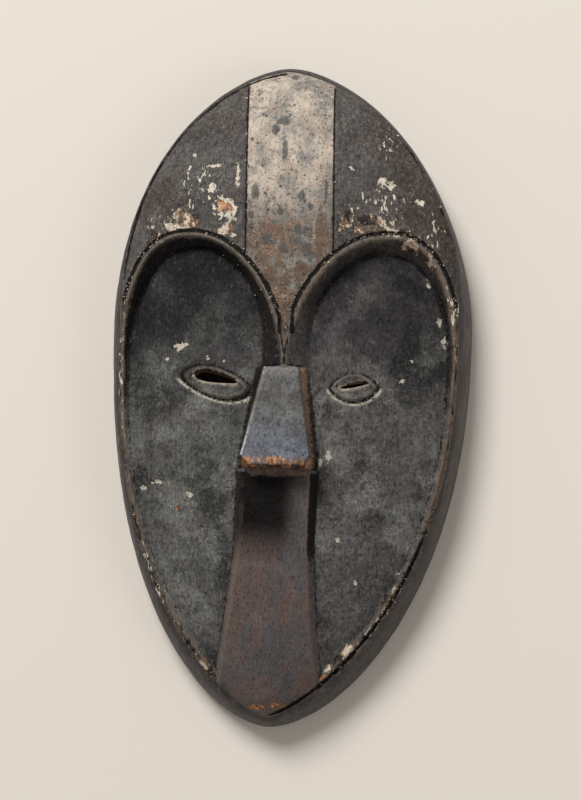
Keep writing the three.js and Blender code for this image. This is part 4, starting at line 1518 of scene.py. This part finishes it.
def painted_face(groups):
    """Black and grey patina, a clay band, and bare wood where it has worn."""
    face = PaintedFace(groups)
    mask, small, patina, grain = face.mask, face.small, face.patina, face.grain
    lost = face.lost_paint()
    stained = face.layered(CREAM, [(CLAY_DIRTY, small["Dark"], 0.5), (SLATE_PALE, mask["recess"], 0.45)])
    torn = face.torn(mask["broken"], 4.0, 1.1, 0.1)
    bits = face.clouds(face.stretched(face.place, (1.0, 0.5, 1.0)), 4.6, 5.0, 0.62)
    streaky = face.patches(1.4, 0.46, 0.58, 4.0, 0.7, stretch=(1.0, 0.25, 1.0))
    coats = [
        (SLATE_PALE, face.nicks(), 1.0),
        (stained, lost, 0.92),
        (broken_colour(face, bits), face.times(torn, face.plain), 0.85),
        (face.blend(small["Pale"], SOOT_AND_SHADE, BARE_BROWN), mask["splintered"], 0.7),
        (WORN_GREY, face.rubbed_edges(), 0.5),
        (face.blend(streaky, BARE_ORANGE, WOOD_LINE), face.bare_wood(), 0.88),
        (SOOT_AND_SHADE, face.dirt(), 0.95),
        (SOOT_AND_SHADE, face.times(grain["Pores"], 0.5), face.plain),
    ]
    colour = face.layered(face.painted(), coats)
    roughness = face.between(patina["Dark"], 0.0, 1.0, 0.64, 0.48)
    roughness = face.most(roughness, face.times(face.most(face.band, lost), 0.8))
    relief = face.total(
        (grain["Lines"], 0.6),
        (grain["Pores"], -0.6),
        (lost, -0.9),
        (patina["Specks"], -0.4),
        (face.clouds(face.place, 3.0, 3.0, 0.6), 1.4),
        (face.times(torn, bits), 1.5),
    )
    return face.coat(colour, roughness, relief, 0.34, 0.14)


def clay_crumb(groups):
    """Dried clay, dry and matt."""
    crumb = Finish("clay_crumb", groups, 4.0)
    dark = crumb.patina["Dark"]
    coats = [(CLAY_DIRTY, dark, 1.0), (CRUMB_DARK, crumb.patches(7.0, 0.46, 0.56, 3.0, 0.55), 1.0)]
    roughness = crumb.between(crumb.patina["Pale"], 0.0, 1.0, 0.95, 0.8)
    return crumb.coat(crumb.layered(CRUMB_PALE, coats), roughness, dark, 0.08, 0.1)


def smoked_side(groups):
    """The outer wall: smooth grey-black with long scuffs along the grain."""
    side = Finish("smoked_side", groups, 11.0, 0.7, patina_stretch=(1.0, 0.45, 0.8))
    coats = [
        (SIDE_PALE, side.patches(4.0, 0.44, 0.6, 5.0, 0.65, stretch=(1.0, 0.15, 0.8)), 1.0),
        (SIDE_DARK, side.patina["Dark"], 0.4),
        (SIDE_SCUFF, side.patches(1.1, 0.5, 0.64, 5.0, 0.7, stretch=(1.0, 0.1, 1.0)), 0.3),
        (DUST_GREY, side.patina["Pale"], 0.16),
        (LIP_BROWN, side.shared("worn", Edge=side.attribute("edge"), Amount=0.6)["Mask"], 0.25),
        (BARE_BROWN, side.shared("flakes", Amount=0.16, Size=2.6, Length=2.5)["Mask"], 0.7),
        (SOOT_AND_SHADE, side.grain["Pores"], 0.5),
    ]
    roughness = side.between(side.patina["Dark"], 0.0, 1.0, 0.62, 0.48)
    relief = side.total((side.grain["Lines"], 0.8), (side.grain["Pores"], -0.5))
    return side.coat(side.layered(SIDE_GREY, coats), roughness, relief, 0.16, 0.3)


def bare_back(groups):
    """The hollow and the rim it lies on: plain dark wood with gouge marks."""
    back = Finish("bare_back", groups, 22.0, 0.9)
    coats = [
        (BACK_PALE, back.between(back.grain["Lines"], 0.42, 0.58), 1.0),
        (BACK_DARK, back.patina["Dark"], 0.6),
        (DUST_GREY, back.patina["Pale"], 0.35),
        (BARE_BROWN, back.shared("worn", Edge=back.attribute("edge"), Amount=0.8)["Mask"], 0.6),
    ]
    gouged = back.stretched(back.place, (1.0, 0.35, 1.0))
    gouges = back.node("ShaderNodeTexVoronoi", {"Vector": gouged, "Scale": 0.14}).outputs["Distance"]
    relief = back.total((gouges, 1.6), (back.grain["Lines"], 0.25))
    roughness = back.between(back.patina["Dark"], 0.0, 1.0, 0.8, 0.66)
    return back.coat(back.layered(BACK_BROWN, coats), roughness, relief, 0.5, 0.2)


# Crumbs of clay, scattered over the finished surface where its crumbs mask says

CRUMBS = {"Density": 0.45 / MM**2, "Smallest": 0.16 * MM, "Largest": 0.42 * MM, "Seed": 7}


def scatter_tree():
    """Scatters crumbs over a mesh, thickest where its crumbs attribute is 1."""
    group = bpy.data.node_groups.new("scattered_crumbs", "GeometryNodeTree")
    face = group.interface
    face.new_socket(name="Geometry", in_out="INPUT", socket_type="NodeSocketGeometry")
    for name, kind in (("Density", "Float"), ("Smallest", "Float"), ("Largest", "Float"), ("Seed", "Int")):
        face.new_socket(name=name, in_out="INPUT", socket_type="NodeSocket" + kind)
    face.new_socket(name="Finish", in_out="INPUT", socket_type="NodeSocketMaterial")
    face.new_socket(name="Geometry", in_out="OUTPUT", socket_type="NodeSocketGeometry")
    tree = Tree(group)
    given = tree.node("NodeGroupInput").outputs
    share = tree.node("GeometryNodeInputNamedAttribute", {"Name": "crumbs"}, data_type="FLOAT").outputs[0]
    settings = {"Mesh": given["Geometry"], "Density": tree.times(share, given["Density"])}
    points = tree.node("GeometryNodeDistributePointsOnFaces", {**settings, "Seed": given["Seed"]})
    crumb = tree.node("GeometryNodeMeshIcoSphere", {"Radius": 1.0, "Subdivisions": 1})
    sizes = {"Min": given["Smallest"], "Max": given["Largest"], "Seed": given["Seed"]}
    size = tree.node("FunctionNodeRandomValue", sizes, data_type="FLOAT").outputs["Value"]
    turn = tree.node("FunctionNodeRandomValue", {"Max": (6.28, 6.28, 6.28)}, data_type="FLOAT_VECTOR")
    flat = tree.node("ShaderNodeCombineXYZ", {"X": 1.0, "Y": 1.5, "Z": 0.7}).outputs[0]
    scale = tree.node("ShaderNodeVectorMath", {0: flat, "Scale": size}, operation="SCALE").outputs[0]
    placing = {"Points": points.outputs["Points"], "Instance": crumb.outputs["Mesh"], "Scale": scale}
    placing["Rotation"] = turn.outputs[0]
    crumbs = tree.node("GeometryNodeInstanceOnPoints", placing).outputs[0]
    whole = tree.node("GeometryNodeRealizeInstances", {0: crumbs}).outputs[0]
    done = tree.node("GeometryNodeSetMaterial", {"Geometry": whole, "Material": given["Finish"]})
    tree.put(done.outputs[0], tree.node("NodeGroupOutput").inputs["Geometry"])
    return group


def scatter_crumbs(surface, finish):
    crumbs = placed_object("clay_crumbs", surface.data)
    scatter = crumbs.modifiers.new("scatter", "NODES")
    scatter.node_group = scatter_tree()
    for socket in scatter.node_group.interface.items_tree:
        if socket.in_out == "INPUT" and socket.name != "Geometry":
            scatter[socket.identifier] = {**CRUMBS, "Finish": finish}[socket.name]
    made = bpy.data.meshes.new_from_object(crumbs.evaluated_get(bpy.context.evaluated_depsgraph_get()))
    crumbs.modifiers.clear()
    crumbs.data = made
    print("crumb triangles", len(made.polygons))
    return crumbs


GROUPS = {
    "grain": wood_grain(),
    "ragged": ragged_edge(),
    "flakes": loose_flakes(),
    "patina": mottled_patina(),
    "worn": worn_edge(),
}
mask = build_mask([painted_face(GROUPS), smoked_side(GROUPS), bare_back(GROUPS)])
crumbs = scatter_crumbs(mask, clay_crumb(GROUPS))
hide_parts("mask")
for piece in (mask, crumbs):
    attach(piece, "root")


# Camera: nearly straight above the lying mask, a little from its right and its chin
FRAME_HEIGHT = 800
CAMERA_AWAY = 1.1
TARGET = Vector((1.594, -3.74, 28.0)) * MM
SHIFT_RIGHT, SHIFT_CHIN, ROLL = math.radians(4.5), math.radians(5.0), math.radians(-1.6)
MM_PER_PIXEL = 0.414


def add_camera():
    back = Vector((math.sin(SHIFT_RIGHT), -math.sin(SHIFT_CHIN), 0))
    back.z = math.sqrt(1 - back.length_squared)
    up = Vector((math.sin(ROLL), math.cos(ROLL), 0))
    right = up.cross(back).normalized()
    up = back.cross(right)
    data = bpy.data.cameras.new("camera")
    data.sensor_width = 36
    focal = CAMERA_AWAY / (MM_PER_PIXEL * MM)
    data.lens = focal / FRAME_HEIGHT * data.sensor_width
    camera = placed_object("camera", data)
    turn = Matrix((right, up, back)).transposed().to_4x4()
    camera.matrix_world = Matrix.Translation(TARGET + back * CAMERA_AWAY) @ turn
    data.clip_start = 0.05
    data.clip_end = 20
    bpy.context.scene.camera = camera


def add_light(name, place, size, power, colour):
    data = bpy.data.lights.new(name, "AREA")
    data.shape = "DISK"
    data.size = size
    data.energy = power
    data.color = colour
    lamp = placed_object(name, data)
    lamp.location = place
    lamp.rotation_euler = (-Vector(place)).to_track_quat("-Z", "Y").to_euler()


def add_stage():
    corners = [(-4, -4, 0), (4, -4, 0), (4, 4, 0), (-4, 4, 0)]
    mesh = bpy.data.meshes.new("floor")
    mesh.from_pydata(corners, [], [(0, 1, 2, 3)])
    floor = placed_object("floor", mesh)
    material = bpy.data.materials.new("pale_floor")
    material.use_nodes = True
    surface = material.node_tree.nodes["Principled BSDF"]
    surface.inputs["Base Color"].default_value = (0.80, 0.745, 0.67, 1)
    surface.inputs["Roughness"].default_value = 0.9
    mesh.materials.append(material)


add_camera()
add_stage()
add_light("key", (-0.75, 1.6, 2.2), 1.2, 66, (1.0, 0.99, 0.985))
add_light("fill", (1.3, -0.5, 1.5), 0.9, 3.4, (0.97, 0.98, 1.0))
world = bpy.data.worlds.new("world")
bpy.context.scene.world = world
world.use_nodes = True
world.node_tree.nodes["Background"].inputs["Color"].default_value = (1, 0.955, 0.9, 1)
world.node_tree.nodes["Background"].inputs["Strength"].default_value = 0.29
bpy.context.scene.view_settings.view_transform = "Standard"
